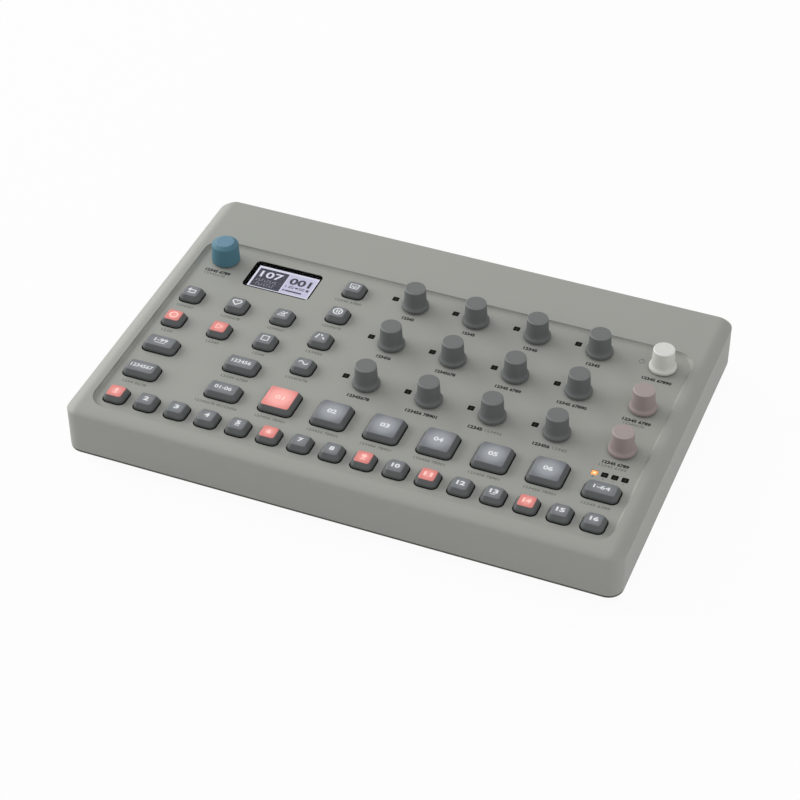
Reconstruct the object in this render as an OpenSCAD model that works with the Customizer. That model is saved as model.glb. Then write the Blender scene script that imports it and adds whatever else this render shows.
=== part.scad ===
// Compact table-top drum machine: a moulded two-part case with a recessed control
// panel, thirty-seven sprung keys, fifteen potentiometers, one push encoder, a small
// display and a row of sockets along the back.
// Millimetres. X runs to the right, Y to the back and Z up. The origin is on the
// table, under the middle of the case.

/* [Case] */
// Width of the case
body_w = 270; // [268:1:290]
// Depth of the case
body_d = 180; // [179:1:195]
// Height of the upper case above the parting line
case_h = 23.6; // [23.2:0.1:27]
// Plan radius of the case corners
corner_r = 7.5; // [5:0.5:10]
// How far the rounded top edge reaches in at the front and sides
edge_run = 7.5; // [4:0.5:7.5]
// How far the rounded top edge reaches in at the back
back_edge_run = 4; // [2:0.5:6]
// How far the rounded top edge drops
edge_drop = 2.4; // [1.5:0.1:2.8]
// Wall of the upper case
wall = 2.5; // [2:0.1:3]
// Raised rim on the left and right of the control panel
side_rim = 9; // [8:0.5:10]
// Raised rim in front of the control panel
front_rim = 8.5; // [8:0.5:9]
// Raised shelf behind the control panel
shelf_d = 35.7; // [34:0.1:37]
// Depth of the control panel below the rim
recess = 1.6; // [1:0.1:2]
// Plan radius of the control panel's corners
recess_r = 9; // [7:0.5:10]
// Thickness of the control panel
panel_t = 2.3; // [1.8:0.1:2.8]
// Thickness of the rear shelf
shelf_t = 2.6; // [2:0.1:3.2]

/* [Base] */
// Height of the rubber feet below the base
foot_h = 4; // [3:0.5:6]
// Diameter of the rubber feet
foot_d = 16; // [12:1:20]
// How far the feet sit in from the case sides
foot_inset_x = 24; // [20:1:30]
// How far the feet sit in from the front and back
foot_inset_y = 24; // [20:1:28]
// Thickness of the base floor
base_t = 2.3; // [2:0.1:3]
// Thickness of the base flange that shows as a dark line
flange_t = 0.7; // [0.5:0.1:1]
// How far the base floor is set in from the case sides
base_inset = 3; // [2:0.5:4]
// Height of the locating lip inside the upper case
lip_h = 2.2; // [1.5:0.1:2.6]

/* [Keys] */
// Width of a small key at the panel
key_size = 10.5; // [9.5:0.1:11]
// Width of a wide key and side of a pad at the panel
wide_size = 16.7; // [15:0.1:17]
// Height of the key tops above the panel
key_rise = 3.5; // [3:0.1:4.5]
// Upright part of the key sides above the panel
key_skirt = 1; // [0.4:0.1:1.4]
// How far each key side slopes in towards the top
key_slope = 1.55; // [1:0.05:2.4]
// Radius of the upright key corners
key_corner = 3; // [2:0.1:3.4]
// Gap between a key and its cutout
key_gap = 0.45; // [0.3:0.05:0.6]
// Key travel
key_travel = 1; // [0.6:0.1:1.2]
// Pad travel
pad_travel = 0.8; // [0.5:0.1:1.2]
// Diameter of a key stem
stem_d = 3; // [2.4:0.1:3.4]

/* [Layout] */
// Outer step keys, in from the sides of the control panel
key_margin = 9.9; // [9:0.1:11]
// Step row, behind the front edge of the control panel
step_y = 10.5; // [9:0.1:11.5]
// Back row of the left keys, in front of the back edge of the control panel
left_keys_y = 44.7; // [43:0.1:48]
// Spacing of the key columns on the left
col_pitch = 24.1; // [23.6:0.1:24.4]
// Pad row, behind the step row
pad_y = 23.4; // [22.8:0.1:24.4]
// Front knob row, behind the step row
knob_y = 50.3; // [49.8:0.1:51]
// Back knob row, in front of the back edge of the control panel
knob_back = 12.5; // [11:0.1:14]
// First knob column, right of the fourth key column
knob_x = 31.9; // [30:0.1:33]
// Side of a square light window
light_w = 3; // [2.4:0.1:3.4]
// Light window left of its knob
light_dx = 11.2; // [10.8:0.1:11.6]
// Light window behind its knob
light_dy = 2.6; // [1:0.1:3]
// Spacing of the four page lights
page_light_pitch = 4.77; // [4.5:0.01:5]
// Page lights behind the page key
page_light_dy = 11.95; // [11:0.05:13]
// Width of the display opening
display_w = 35.6; // [33:0.1:37]
// Depth of the display opening
display_d = 20.8; // [18:0.1:22]
// Middle of the display opening, right of the first key column
display_x = 35.7; // [35:0.1:36.5]
// Middle of the display opening, in front of the back edge of the control panel
display_y = 16.7; // [16.5:0.1:17.5]

/* [Knobs] */
// Diameter of a knob's skirt
knob_d = 13.3; // [12.5:0.1:14]
// Diameter of a knob's cap where it leaves the skirt
cap_low_d = 10.9; // [10:0.1:11.5]
// Diameter of a knob's cap at the top
cap_top_d = 10.2; // [9:0.1:10.6]
// Height of the knob tops above the panel
knob_rise = 12; // [11:0.1:14]
// Air under a knob
knob_gap = 0.7; // [0.5:0.1:1]
// Height of a knob's skirt
skirt_h = 2; // [1:0.1:2.4]
// Diameter of the knob shafts
shaft_d = 6; // [5.5:0.1:6.4]
// Diameter of the encoder knob at the bottom
encoder_d = 14; // [13:0.1:14.5]
// Diameter of the encoder knob at its shoulder
encoder_shoulder_d = 13.2; // [12:0.1:13.6]
// Diameter of the flat top of the encoder knob
encoder_flat_d = 8.4; // [8:0.1:10]
// Height of the sloping shoulder of the encoder knob
encoder_bevel = 1.4; // [1:0.1:2.6]
// Push travel of the encoder
encoder_travel = 0.5; // [0.3:0.1:0.5]

/* [Inside] */
// From the underside of the panel to the circuit board
board_gap = 9; // [8.5:0.1:9.4]
// Thickness of the circuit boards
board_t = 1.6; // [1.2:0.1:2]
// Side of a key switch
switch_w = 6.2; // [5.6:0.1:7]
// Height of a key switch
switch_h = 3.5; // [3:0.1:4]
// Width of a potentiometer
pot_w = 9.6; // [9:0.1:10.2]
// Depth of a potentiometer
pot_d = 11; // [10:0.1:12]
// Height of a potentiometer
pot_h = 6.5; // [5.5:0.1:7]
// Radius of the screw posts under the panel
post_r = 4; // [3.6:0.1:4]
// Height of the socket board above the base floor
socket_board_h = 3.2; // [3:0.1:4]
// Height of the socket axes above their board
socket_axis_h = 6; // [5.8:0.1:6.6]
// Radius of the large plug sockets
plug_r = 3.2; // [3.2:0.01:3.3]
// Radius of the small plug sockets
mini_plug_r = 1.8; // [1.78:0.01:1.9]
// Depth of the bay around the rear sockets
bay_depth = 1.6; // [1.4:0.1:2]
// Travel of the power button
power_travel = 1.2; // [0.8:0.1:1.2]

/* [Hidden] */
$fn = 48;
cut = 1;              // overshoot of a cutting solid past the face it cuts
fit = 0.2;            // general assembly clearance
run = 0.05;           // radial running clearance of a shaft

// Heights of the case and of the boards in it
floor_z = foot_h;
floor_top = floor_z + base_t;
part_z = floor_top + flange_t;
rim_z = part_z + case_h;
shelf_low = rim_z - shelf_t;
panel_z = rim_z - recess;
panel_low = panel_z - panel_t;
board_top = panel_low - board_gap;
board_low = board_top - board_t;
socket_low = floor_top + socket_board_h;
socket_top = socket_low + board_t;
axis_z = socket_top + socket_axis_h;

// Plan of the case
panel_front = -body_d / 2 + front_rim;
panel_back = body_d / 2 - shelf_d;
panel_half = body_w / 2 - side_rim;
rear_face = body_d / 2 - bay_depth;
rear_inner = rear_face - wall;
cavity_r = max(corner_r - wall, 1);
lip_in = wall + fit;
lip_t = 1.5;
foot_seat = 0.5;      // depth of the pocket that holds a foot
foot_bevel = 1;

// Plan of the boards
board_edge = 2;       // gap from a board's edge to the side walls
board_back = panel_back - 2.3;
socket_front = panel_back - 10;
link_w = 30;          // connector that joins the two boards
link_d = 4;

// Plan of the controls
row0 = panel_front + step_y;
row_pitch = (panel_back - left_keys_y - row0) / 4;
step_x0 = key_margin - panel_half;
step_pitch = -2 * step_x0 / 15;
col_d = step_x0 + 3 * col_pitch;
wide_shift = (wide_size - key_size) / 2;
outer_x = -step_x0 - wide_shift;
pad_pitch = (outer_x - col_d) / 6;
knob_x0 = col_d + knob_x;
knob_pitch = (outer_x - knob_x0) / 4;
knob_row0 = row0 + knob_y;
knob_row2 = panel_back - knob_back;
knob_row_pitch = (knob_row2 - knob_row0) / 2;
encoder_pos = [-outer_x, knob_row2];
display_cx = step_x0 + display_x;
display_cy = panel_back - display_y;

// Keys
key_ledge = 0.9;      // ledge under the panel that keeps a key in
key_ledge_t = 1.1;
key_low = panel_low - fit;
key_top_r = max(key_corner - key_slope, 0.6);
stem_play = 0.3;      // radial gap between a key stem and its switch
stem_grip = 1.5;      // length of a key stem inside its switch
stem_low = board_top + switch_h - stem_grip;
switch_floor = 0.5;

// Knobs and what they turn in
knob_wall = 1.6;      // plastic left above a knob's shaft
knob_low = panel_z + knob_gap;
knob_top = panel_z + knob_rise;
shaft_r = shaft_d / 2;
shaft_top = knob_top - knob_wall;
shaft_flat = 0.7;     // height of the shaft's flat, as a share of its radius
bushing_r = 3.7;
bushing_top = panel_low - fit;
pot_bore_low = board_top + 1;
encoder_low = panel_z + encoder_travel + 0.3;
plunger_low = pot_bore_low + encoder_travel + fit;
plunger_t = 1.2;
plunger_top = plunger_low + plunger_t;
pivot_r = 1;          // pin on the plunger that the encoder shaft turns on
pivot_h = 1.5;

// Lights and display
light_drop = 0.15;    // light windows stay this far below the panel face
light_base = 0.6;     // how much wider the light source is than its window
light_base_h = 0.8;
lens_t = 0.9;
lens_drop = 0.35;     // lens face below the panel face
lens_gap = 0.35;      // around the lens in its opening
glass_t = 1.6;
display_corner = 2.4; // of the opening in the panel
display_margin = 3;   // display hidden under the panel on each side

// Screws and the posts and collars that they join
screw_r = 1.45;
screw_head_r = 2.9;
screw_head_h = 1.7;
screw_len = 9;
drive_r = 1.2;        // hexagon socket of a screw
drive_h = 1;
spigot_r = 2.9;       // end of a post that passes through a board
collar_r = 5;
collar_web = 1.8;     // floor of a collar that the screw clamps
web_top = floor_top + collar_web;

// Rear sockets and the power button, left of the right end of their bay
large_pitch = 24;
mini_pitch = 16;
bay_len = 196;
bay_x1 = body_w / 2 - 14;
bay_x0 = bay_x1 - bay_len;
power_x = bay_x1 - 12;
supply_x = bay_x1 - 33;
usb_x = bay_x1 - 53;
mini_socket_x = [for (i = [1:-1:0]) bay_x1 - 74 - i * mini_pitch];
large_socket_x = [for (i = [2:-1:0]) bay_x1 - 133 - i * large_pitch];
bay_half_h = socket_axis_h + 2;
nose_end = rear_face - 0.1;
large_w = 14;
large_len = 32;
large_nose_r = 5.2;
large_bore_len = 32;
mini_w = 9;
mini_len = 16;
mini_nose_r = 3;
mini_bore_len = 15;
supply_w = 10;
supply_len = 13;
supply_nose_r = 4.4;
supply_bore_r = 2.8;
supply_bore_len = 10;
supply_pin_r = 0.95;
usb_w = 7.6;
usb_h = 2.8;
usb_len = 5;
usb_shell = 0.5;
power_r = 3.6;
power_w = 8;
power_back = rear_inner - 4;
power_plunger_r = 1.5;
power_plunger_in = 3.5;
power_flange_t = 1.2;
power_flange_y = rear_inner - fit - power_flange_t;
power_proud = 1.3;

// Colours
CASE = "#9d9f98";
BASE = "#4a4b49";
KEY = "#55575a";
LIT = "#f0857f";
GREY = "#5e6163";
WHITE = "#cfcfca";
MAUVE = "#9d8f8e";
BLUE = "#4f7c91";
BOARD = "#2f5d46";
METAL = "#a9abad";
DARK = "#1d1e1c";
SMOKE = "#2a2b28";
RUBBER = "#2b2b2b";
SCREEN = "#c9c8e0";

// Keys: name, x, y, width, depth, travel, colour
function row_y(i) = row0 + i * row_pitch;
function col_x(i) = step_x0 + i * col_pitch;
lit_steps = [1, 6, 9, 11, 14];
step_keys = [for (i = [1:16]) [
    str("step_key_", i < 10 ? "0" : "", i), step_x0 + (i - 1) * step_pitch, row0,
    key_size, key_size, key_travel, len(search(i, lit_steps)) > 0 ? LIT : KEY]];
pads = [for (i = [1:6]) [
    str("pad_", i), col_d + (i - 1) * pad_pitch, row0 + pad_y,
    wide_size, wide_size, pad_travel, i == 1 ? LIT : KEY]];
function small_key(name, x, y, colour = KEY) =
    [name, x, y, key_size, key_size, key_travel, colour];
function wide_key(name, x, y) = [name, x, y, wide_size, key_size, key_travel, KEY];
function mode_y(i) = knob_row0 + i * knob_row_pitch * 2 / 3;
function_keys = [
    small_key("return_key", col_x(0), row_y(4)),
    small_key("favourite_key", col_x(1), row_y(4)),
    small_key("metronome_key", col_x(2), row_y(4)),
    small_key("record_key", col_x(0), row_y(3), LIT),
    small_key("play_key", col_x(1), row_y(3), LIT),
    small_key("stop_key", col_x(2), row_y(3)),
    small_key("preset_key", col_d, mode_y(3)),
    small_key("keyboard_key", col_d, mode_y(2)),
    small_key("accent_key", col_d, mode_y(1)),
    small_key("wave_key", col_d, mode_y(0)),
    wide_key("function_key", col_x(0) + wide_shift, row_y(2)),
    wide_key("pattern_key", col_x(0) + wide_shift, row_y(1)),
    wide_key("repeat_key", col_x(2) - wide_shift, row_y(2)),
    wide_key("track_key", col_x(2) - wide_shift, row_y(1)),
    wide_key("page_key", outer_x, row_y(1))];
all_keys = concat(step_keys, pads, function_keys);

// Knobs: name, x, y, colour. The grid is listed from the back row to the front.
grid_names = [
    ["pitch_knob", "decay_knob", "colour_knob", "shape_knob"],
    ["sweep_knob", "contour_knob", "delay_knob", "reverb_knob"],
    ["speed_knob", "level_knob", "swing_knob", "chance_knob"]];
grid_knobs = [for (r = [0:2]) for (c = [0:3]) [
    grid_names[r][c], knob_x0 + c * knob_pitch, knob_row2 - r * knob_row_pitch, GREY]];
outer_knobs = [
    ["main_volume_knob", outer_x, knob_row2, WHITE],
    ["reverb_size_knob", outer_x, knob_row2 - knob_row_pitch, MAUVE],
    ["delay_time_knob", outer_x, knob_row0, MAUVE]];
knobs = concat(grid_knobs, outer_knobs);

// Light windows, one beside each grid knob and four over the page key
light_windows = concat(
    [for (k = grid_knobs) [k[1] - light_dx, k[2] + light_dy]],
    [for (i = [0:3]) [outer_x + (i - 1.5) * page_light_pitch, row_y(1) + page_light_dy]]);

// Screw posts: three along the front, two in the middle and three along the back
post_in = 8.5;
front_posts = [for (i = [-1:1]) [i * (body_w / 2 - post_in), panel_front - 0.3]];
middle_posts = [
    [(col_x(2) + col_d) / 2, (row_y(3) + row_y(4)) / 2],
    [outer_x - knob_pitch / 2, knob_row0 + knob_row_pitch / 2]];
board_posts = concat(front_posts, middle_posts);
socket_posts = [for (x = [post_in - body_w / 2, bay_x1 - 112, body_w / 2 - post_in])
    [x, rear_inner - 6]];
socket_rests = [for (p = [[211, 20], [145, 10], [61, 10]]) [bay_x1 - p[0], socket_front + p[1]]];
foot_places = [for (x = [-1, 1]) for (y = [-1, 1])
    [x * (body_w / 2 - foot_inset_x), y * (body_d / 2 - foot_inset_y)]];

// ---- Shared shapes ----

// Rectangle with true round corners, from corner a to corner b
module round_rect(a, b, r) {
    translate([a[0] + r, a[1]]) square([b[0] - a[0] - 2 * r, b[1] - a[1]]);
    translate([a[0], a[1] + r]) square([b[0] - a[0], b[1] - a[1] - 2 * r]);
    for (x = [a[0] + r, b[0] - r], y = [a[1] + r, b[1] - r])
        translate([x, y]) circle(r);
}

module centred_rect(w, d, r) {
    round_rect([-w / 2, -d / 2], [w / 2, d / 2], r);
}

// Outline of the case, set in by one amount all round
module case_outline(inset) {
    centred_rect(body_w - 2 * inset, body_d - 2 * inset, max(corner_r - inset, 1));
}

// A bar along +Y from y0 to y1
module bar_y(x, y0, y1, z, r) {
    translate([x, y0, z]) rotate([-90, 0, 0]) cylinder(r = r, h = y1 - y0);
}

// D-shaped section of a shaft
module shaft_section(r) {
    difference() {
        circle(r);
        translate([-r, r * shaft_flat]) square([2 * r, r]);
    }
}

// ---- Casings ----

module outer_form() {
    slice_t = 0.01;
    slice_fn = 32;
    hull() {
        translate([0, 0, part_z]) linear_extrude(slice_t)
            centred_rect(body_w, body_d, corner_r, $fn = slice_fn);
        for (t = [0:15:90]) {
            in = edge_run * (1 - cos(t));
            back_in = back_edge_run * (1 - cos(t));
            translate([0, 0, rim_z - edge_drop * (1 - sin(t)) - slice_t]) linear_extrude(slice_t)
                round_rect([in - body_w / 2, in - body_d / 2],
                           [body_w / 2 - in, body_d / 2 - back_in],
                           max(corner_r - in, 0.5), $fn = slice_fn);
        }
    }
}

// The recess over the control panel: upright at the rim, rounded into the panel
module panel_recess() {
    slice_t = 0.01;
    slice_fn = 32;
    hull() {
        for (t = [0:18:90]) {
            in = recess * (1 - cos(t));
            translate([0, 0, rim_z - recess * sin(t)]) linear_extrude(slice_t)
                round_rect([in - panel_half, panel_front + in],
                           [panel_half - in, panel_back - in], recess_r - in, $fn = slice_fn);
        }
        translate([0, 0, rim_z + cut]) linear_extrude(slice_t)
            round_rect([-panel_half, panel_front], [panel_half, panel_back], recess_r,
                       $fn = slice_fn);
    }
}

module case_cavity() {
    translate([0, 0, part_z - cut]) linear_extrude(panel_low - part_z + cut)
        round_rect([wall - body_w / 2, wall - body_d / 2], [body_w / 2 - wall, rear_inner], cavity_r);
    // higher room under the rear shelf
    translate([0, 0, part_z]) linear_extrude(shelf_low - part_z)
        round_rect([edge_run - body_w / 2, panel_back + wall],
                   [body_w / 2 - edge_run, rear_inner - wall], 2);
}

module panel_cutouts() {
    h = panel_t + recess + 2 * cut;
    translate([0, 0, panel_low - cut]) {
        for (k = all_keys)
            translate([k[1], k[2]]) linear_extrude(h)
                centred_rect(k[3] + 2 * key_gap, k[4] + 2 * key_gap, key_corner + key_gap);
        for (k = knobs)
            translate([k[1], k[2]]) cylinder(r = shaft_r + 2 * fit, h = h);
        translate(encoder_pos) cylinder(r = shaft_r + 2 * fit, h = h);
        for (p = light_windows)
            translate(p) linear_extrude(h) centred_rect(light_w + fit, light_w + fit, 0.5);
        translate([display_cx, display_cy]) linear_extrude(h)
            centred_rect(display_w, display_d, display_corner);
    }
}

// Shallow bay around the sockets, with a hole for each of them and for the button
module rear_cutouts() {
    back = body_d / 2;
    low = rear_inner - cut;
    translate([0, back + cut, axis_z]) rotate([90, 0, 0]) linear_extrude(bay_depth + cut)
        round_rect([bay_x0, -bay_half_h], [bay_x1, bay_half_h], 3);
    for (x = large_socket_x) bar_y(x, low, back, axis_z, large_nose_r + fit);
    for (x = mini_socket_x) bar_y(x, low, back, axis_z, mini_nose_r + fit);
    bar_y(supply_x, low, back, axis_z, supply_nose_r + fit);
    bar_y(power_x, low, back, axis_z, power_r + 1.5 * fit);
    translate([usb_x, back, socket_top + usb_h / 2]) rotate([90, 0, 0]) linear_extrude(back - low)
        centred_rect(usb_w + 2 * fit, usb_h + 2 * fit, 1);
}

// Post that hangs from the case and ends in a spigot through the board
module screw_post(p, low, high) {
    spigot_low = web_top + 0.1;
    translate([p[0], p[1], low]) cylinder(r = post_r, h = high - low);
    translate([p[0], p[1], spigot_low]) cylinder(r = spigot_r, h = low - spigot_low + 0.1);
}

module screw_hole(p) {
    translate([p[0], p[1], floor_top]) cylinder(r = screw_r + run, h = screw_len + cut);
}

module top_case() {
    rooted = 0.5;
    color(CASE) difference() {
        union() {
            difference() {
                outer_form();
                case_cavity();
            }
            for (p = board_posts) screw_post(p, board_top, panel_low + rooted);
            for (p = socket_posts) screw_post(p, socket_top, shelf_low + rooted);
        }
        panel_recess();
        panel_cutouts();
        rear_cutouts();
        for (p = concat(board_posts, socket_posts)) screw_hole(p);
    }
}

module base_collar(p, high) {
    translate([p[0], p[1], floor_z]) cylinder(r = collar_r, h = high - floor_z);
}

module base_bore(p, high) {
    translate([p[0], p[1], floor_z - cut]) {
        cylinder(r = screw_head_r + fit, h = base_t + cut);
        cylinder(r = screw_r + fit, h = high - floor_z + 2 * cut);
    }
    translate([p[0], p[1], web_top]) cylinder(r = spigot_r + fit, h = high - web_top + cut);
}

module bottom_case() {
    lip_inner = lip_in + lip_t;
    lip_back = rear_inner - fit;
    color(BASE) difference() {
        union() {
            translate([0, 0, floor_z]) linear_extrude(base_t) case_outline(base_inset);
            translate([0, 0, floor_top]) linear_extrude(flange_t) difference() {
                case_outline(fit);
                case_outline(2 * base_inset);
            }
            translate([0, 0, part_z]) linear_extrude(lip_h) difference() {
                round_rect([lip_in - body_w / 2, lip_in - body_d / 2],
                           [body_w / 2 - lip_in, lip_back], cavity_r - fit);
                round_rect([lip_inner - body_w / 2, lip_inner - body_d / 2],
                           [body_w / 2 - lip_inner, lip_back - lip_t], cavity_r - fit);
            }
            for (p = board_posts) base_collar(p, board_low);
            for (p = socket_posts) base_collar(p, socket_low);
            for (p = socket_rests) translate([p[0], p[1], floor_z])
                cylinder(r = 3, h = socket_low - floor_z);
        }
        for (p = board_posts) base_bore(p, board_low);
        for (p = socket_posts) base_bore(p, socket_low);
        for (p = foot_places) translate([p[0], p[1], floor_z - cut])
            cylinder(r = foot_d / 2 + fit, h = foot_seat + cut);
    }
}

// ---- Electronics ----

module board(low, front, back, posts) {
    half = body_w / 2 - wall - board_edge;
    translate([0, 0, low]) linear_extrude(board_t) difference() {
        round_rect([-half, front], [half, back], 2);
        for (p = posts) translate(p) circle(spigot_r + fit);
    }
}

module boards() {
    board(board_low, wall + 1 - body_d / 2, board_back, board_posts);
    board(socket_low, socket_front, rear_inner - 0.5, socket_posts);
    translate([-link_w / 2, socket_front + 1, socket_top])
        cube([link_w, link_d, board_low - socket_top]);
}

module key_switch(p) {
    translate([p[0], p[1], board_top]) difference() {
        linear_extrude(switch_h) centred_rect(switch_w, switch_w, 0.6);
        translate([0, 0, switch_floor]) cylinder(r = stem_d / 2 + stem_play, h = switch_h);
    }
}

// Housing and bushing of a potentiometer, also used for the encoder
module pot_body(p) {
    difference() {
        translate([p[0], p[1], board_top]) {
            linear_extrude(pot_h) centred_rect(pot_w, pot_d, 0.6);
            cylinder(r = bushing_r, h = bushing_top - board_top);
        }
        translate([p[0], p[1], pot_bore_low])
            cylinder(r = shaft_r + run, h = bushing_top - pot_bore_low + cut);
    }
}

module light_guide(p) {
    base_w = light_w + light_base;
    translate([p[0], p[1], board_top]) {
        linear_extrude(light_base_h) square([base_w, base_w], center = true);
        linear_extrude(panel_z - light_drop - board_top) centred_rect(light_w, light_w, 0.4);
    }
}

// Socket of width w and length len, with a round nose through the rear wall
module round_socket(x, w, len, nose_r, bore_r, bore_len) {
    front = rear_inner - len;
    difference() {
        union() {
            translate([x - w / 2, front, socket_top])
                cube([w, len - fit, socket_axis_h + w / 2]);
            bar_y(x, rear_inner - 2 * fit, nose_end, axis_z, nose_r);
        }
        bar_y(x, nose_end - bore_len, nose_end + cut, axis_z, bore_r);
    }
}

module usb_socket() {
    translate([usb_x - usb_w / 2, rear_inner - usb_len, socket_top]) difference() {
        cube([usb_w, usb_len + wall - 0.1, usb_h]);
        translate([usb_shell, 1, usb_shell])
            cube([usb_w - 2 * usb_shell, usb_len + wall, usb_h - 2 * usb_shell]);
    }
}

module rear_sockets() {
    for (x = large_socket_x)
        round_socket(x, large_w, large_len, large_nose_r, plug_r, large_bore_len);
    for (x = mini_socket_x)
        round_socket(x, mini_w, mini_len, mini_nose_r, mini_plug_r, mini_bore_len);
    round_socket(supply_x, supply_w, supply_len, supply_nose_r, supply_bore_r, supply_bore_len);
    bar_y(supply_x, nose_end - supply_bore_len - cut, nose_end - 1, axis_z, supply_pin_r);
    usb_socket();
}

module power_switch() {
    bore_low = power_back - power_plunger_in - power_travel - 0.5;
    difference() {
        translate([power_x - power_w / 2, power_back - power_w, socket_top])
            cube([power_w, power_w, socket_axis_h + power_w / 2]);
        bar_y(power_x, bore_low, power_back + cut, axis_z, power_plunger_r + stem_play);
    }
}

module circuit_board() {
    color(BOARD) boards();
    color(DARK) {
        for (k = all_keys) key_switch([k[1], k[2]]);
        rear_sockets();
        power_switch();
    }
    color(METAL) {
        for (k = knobs) pot_body([k[1], k[2]]);
        pot_body(encoder_pos);
    }
    color(SMOKE) for (p = light_windows) light_guide(p);
}

module display_module() {
    w = display_w + 2 * display_margin;
    d = display_d + 2 * display_margin;
    lens_low = panel_low - lens_t - 0.1;
    glass_low = lens_low - glass_t;
    translate([display_cx, display_cy]) {
        color(DARK) translate([0, 0, board_top]) linear_extrude(glass_low - board_top)
            centred_rect(w + 1, d + 1, 1);
        color(SCREEN) translate([0, 0, glass_low]) linear_extrude(glass_t)
            centred_rect(w, d, 0.6);
        color(SCREEN, 0.5) translate([0, 0, lens_low]) {
            linear_extrude(lens_t) centred_rect(w, d, 1);
            linear_extrude(panel_z - lens_drop - lens_low)
                centred_rect(display_w - 2 * lens_gap, display_d - 2 * lens_gap,
                    display_corner - lens_gap);
        }
    }
}

// ---- Base hardware ----

module rubber_foot(p) {
    r = foot_d / 2;
    top = foot_h + foot_seat;
    translate([p[0], p[1], 0]) rotate_extrude()
        polygon([[0, 0], [r - foot_bevel, 0], [r, foot_bevel], [r, top], [0, top]]);
}

module case_screw(p) {
    translate([p[0], p[1], floor_top - screw_head_h]) difference() {
        union() {
            cylinder(r = screw_head_r, h = screw_head_h);
            cylinder(r = screw_r, h = screw_head_h + screw_len);
        }
        translate([0, 0, -cut]) cylinder(r = drive_r, h = cut + drive_h, $fn = 6);
    }
}

module feet_and_screws() {
    color(RUBBER) for (p = foot_places) rubber_foot(p);
    color(METAL) for (p = concat(board_posts, socket_posts)) case_screw(p);
}

// ---- Keys ----

// Sloping cap, ledge under the panel and stem into the switch
module key(k) {
    w = k[3];
    d = k[4];
    slice_t = 0.01;
    ledge = 2 * key_ledge;
    color(k[6]) translate([k[1], k[2], 0]) {
        hull() {
            translate([0, 0, key_low]) linear_extrude(panel_z + key_skirt - key_low)
                centred_rect(w, d, key_corner, $fn = 24);
            translate([0, 0, panel_z + key_rise - slice_t]) linear_extrude(slice_t)
                centred_rect(w - 2 * key_slope, d - 2 * key_slope, key_top_r, $fn = 24);
        }
        translate([0, 0, key_low - key_ledge_t]) linear_extrude(key_ledge_t + 0.2)
            centred_rect(w + ledge, d + ledge, key_corner);
        translate([0, 0, stem_low]) cylinder(r = stem_d / 2, h = key_low - stem_low);
    }
}

// ---- Knobs ----

// Half section of a round cap that widens into a skirt
function knob_section() = let (s = knob_low, h = skirt_h, r = knob_d / 2, lo = cap_low_d / 2,
                               hi = cap_top_d / 2, top = knob_top)
    [[0, s], [r - 0.5, s], [r - 0.1, s + 0.25], [r, s + 0.6], [r - 0.1, s + h * 0.65],
     [r - 0.45, s + h * 0.95], [r - 0.7, s + h + 0.15], [lo + 0.25, s + h + 0.55],
     [lo + 0.1, s + h + 1], [lo, s + h + 1.8], [hi, top - 0.6], [hi - 0.15, top - 0.25],
     [hi - 0.5, top], [0, top]];

// Half section of the encoder's larger cap
function encoder_section() = let (s = encoder_low, r = encoder_d / 2, flat = encoder_flat_d / 2)
    [[0, s], [r - 0.5, s], [r, s + 0.5], [encoder_shoulder_d / 2, knob_top - encoder_bevel],
     [flat + 0.3, knob_top - 0.15], [flat, knob_top], [0, knob_top]];

// Cap turned from a section, hollowed for its shaft
module cap(low) {
    difference() {
        children();
        translate([0, 0, low - cut]) linear_extrude(shaft_top - low + cut + run)
            shaft_section(shaft_r + run / 2);
        translate([0, 0, low - cut]) cylinder(r = shaft_r + run, h = cut + 0.1);
    }
}

// Round shaft that turns into a D above the height full
module shaft(low, full) {
    translate([0, 0, low]) {
        cylinder(r = shaft_r, h = full - low);
        linear_extrude(shaft_top - low) shaft_section(shaft_r);
    }
}

module knob(k) {
    translate([k[1], k[2]]) {
        color(k[3]) cap(knob_low) rotate_extrude() polygon(knob_section());
        color(METAL) shaft(pot_bore_low + fit, knob_low);
    }
}

module encoder_knob() {
    low = plunger_top + 0.1;
    translate(encoder_pos) {
        color(BLUE) cap(encoder_low) rotate_extrude() polygon(encoder_section());
        color(METAL) difference() {
            shaft(low, encoder_low);
            translate([0, 0, low - cut]) cylinder(r = pivot_r + run, h = cut + pivot_h + fit);
        }
    }
}

// Disc under the encoder shaft: it goes down with the knob but does not turn
module encoder_plunger() {
    color(DARK) translate([encoder_pos[0], encoder_pos[1], plunger_low]) {
        cylinder(r = shaft_r, h = plunger_t);
        cylinder(r = pivot_r, h = plunger_t + pivot_h);
    }
}

module power_button() {
    color(DARK) {
        bar_y(power_x, power_back - power_plunger_in, power_flange_y + 0.2, axis_z, power_plunger_r);
        bar_y(power_x, power_flange_y, power_flange_y + power_flange_t, axis_z, power_r + 1);
        bar_y(power_x, power_flange_y, rear_face + power_proud, axis_z, power_r);
    }
}

top_case();
bottom_case();
circuit_board();
display_module();
feet_and_screws();
for (k = all_keys) key(k);
for (k = knobs) knob(k);
encoder_plunger();
encoder_knob();
power_button();
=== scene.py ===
"""Dresses a compact table-top drum machine: case, keys, knobs, display, sockets and base.

Sizes are in millimetres until a mesh is made. X runs to the right, Y to the back and Z up,
from the table under the middle of the case. Each piece takes its place from the solid that
it stands for, and moves with that solid's body.
"""

from __future__ import annotations

import logging
import math
from collections.abc import Callable, Iterable, Iterator, Sequence
from contextlib import contextmanager
from dataclasses import dataclass, field
from enum import Enum

import bmesh
import bpy
from mathutils import Matrix, Vector

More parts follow.
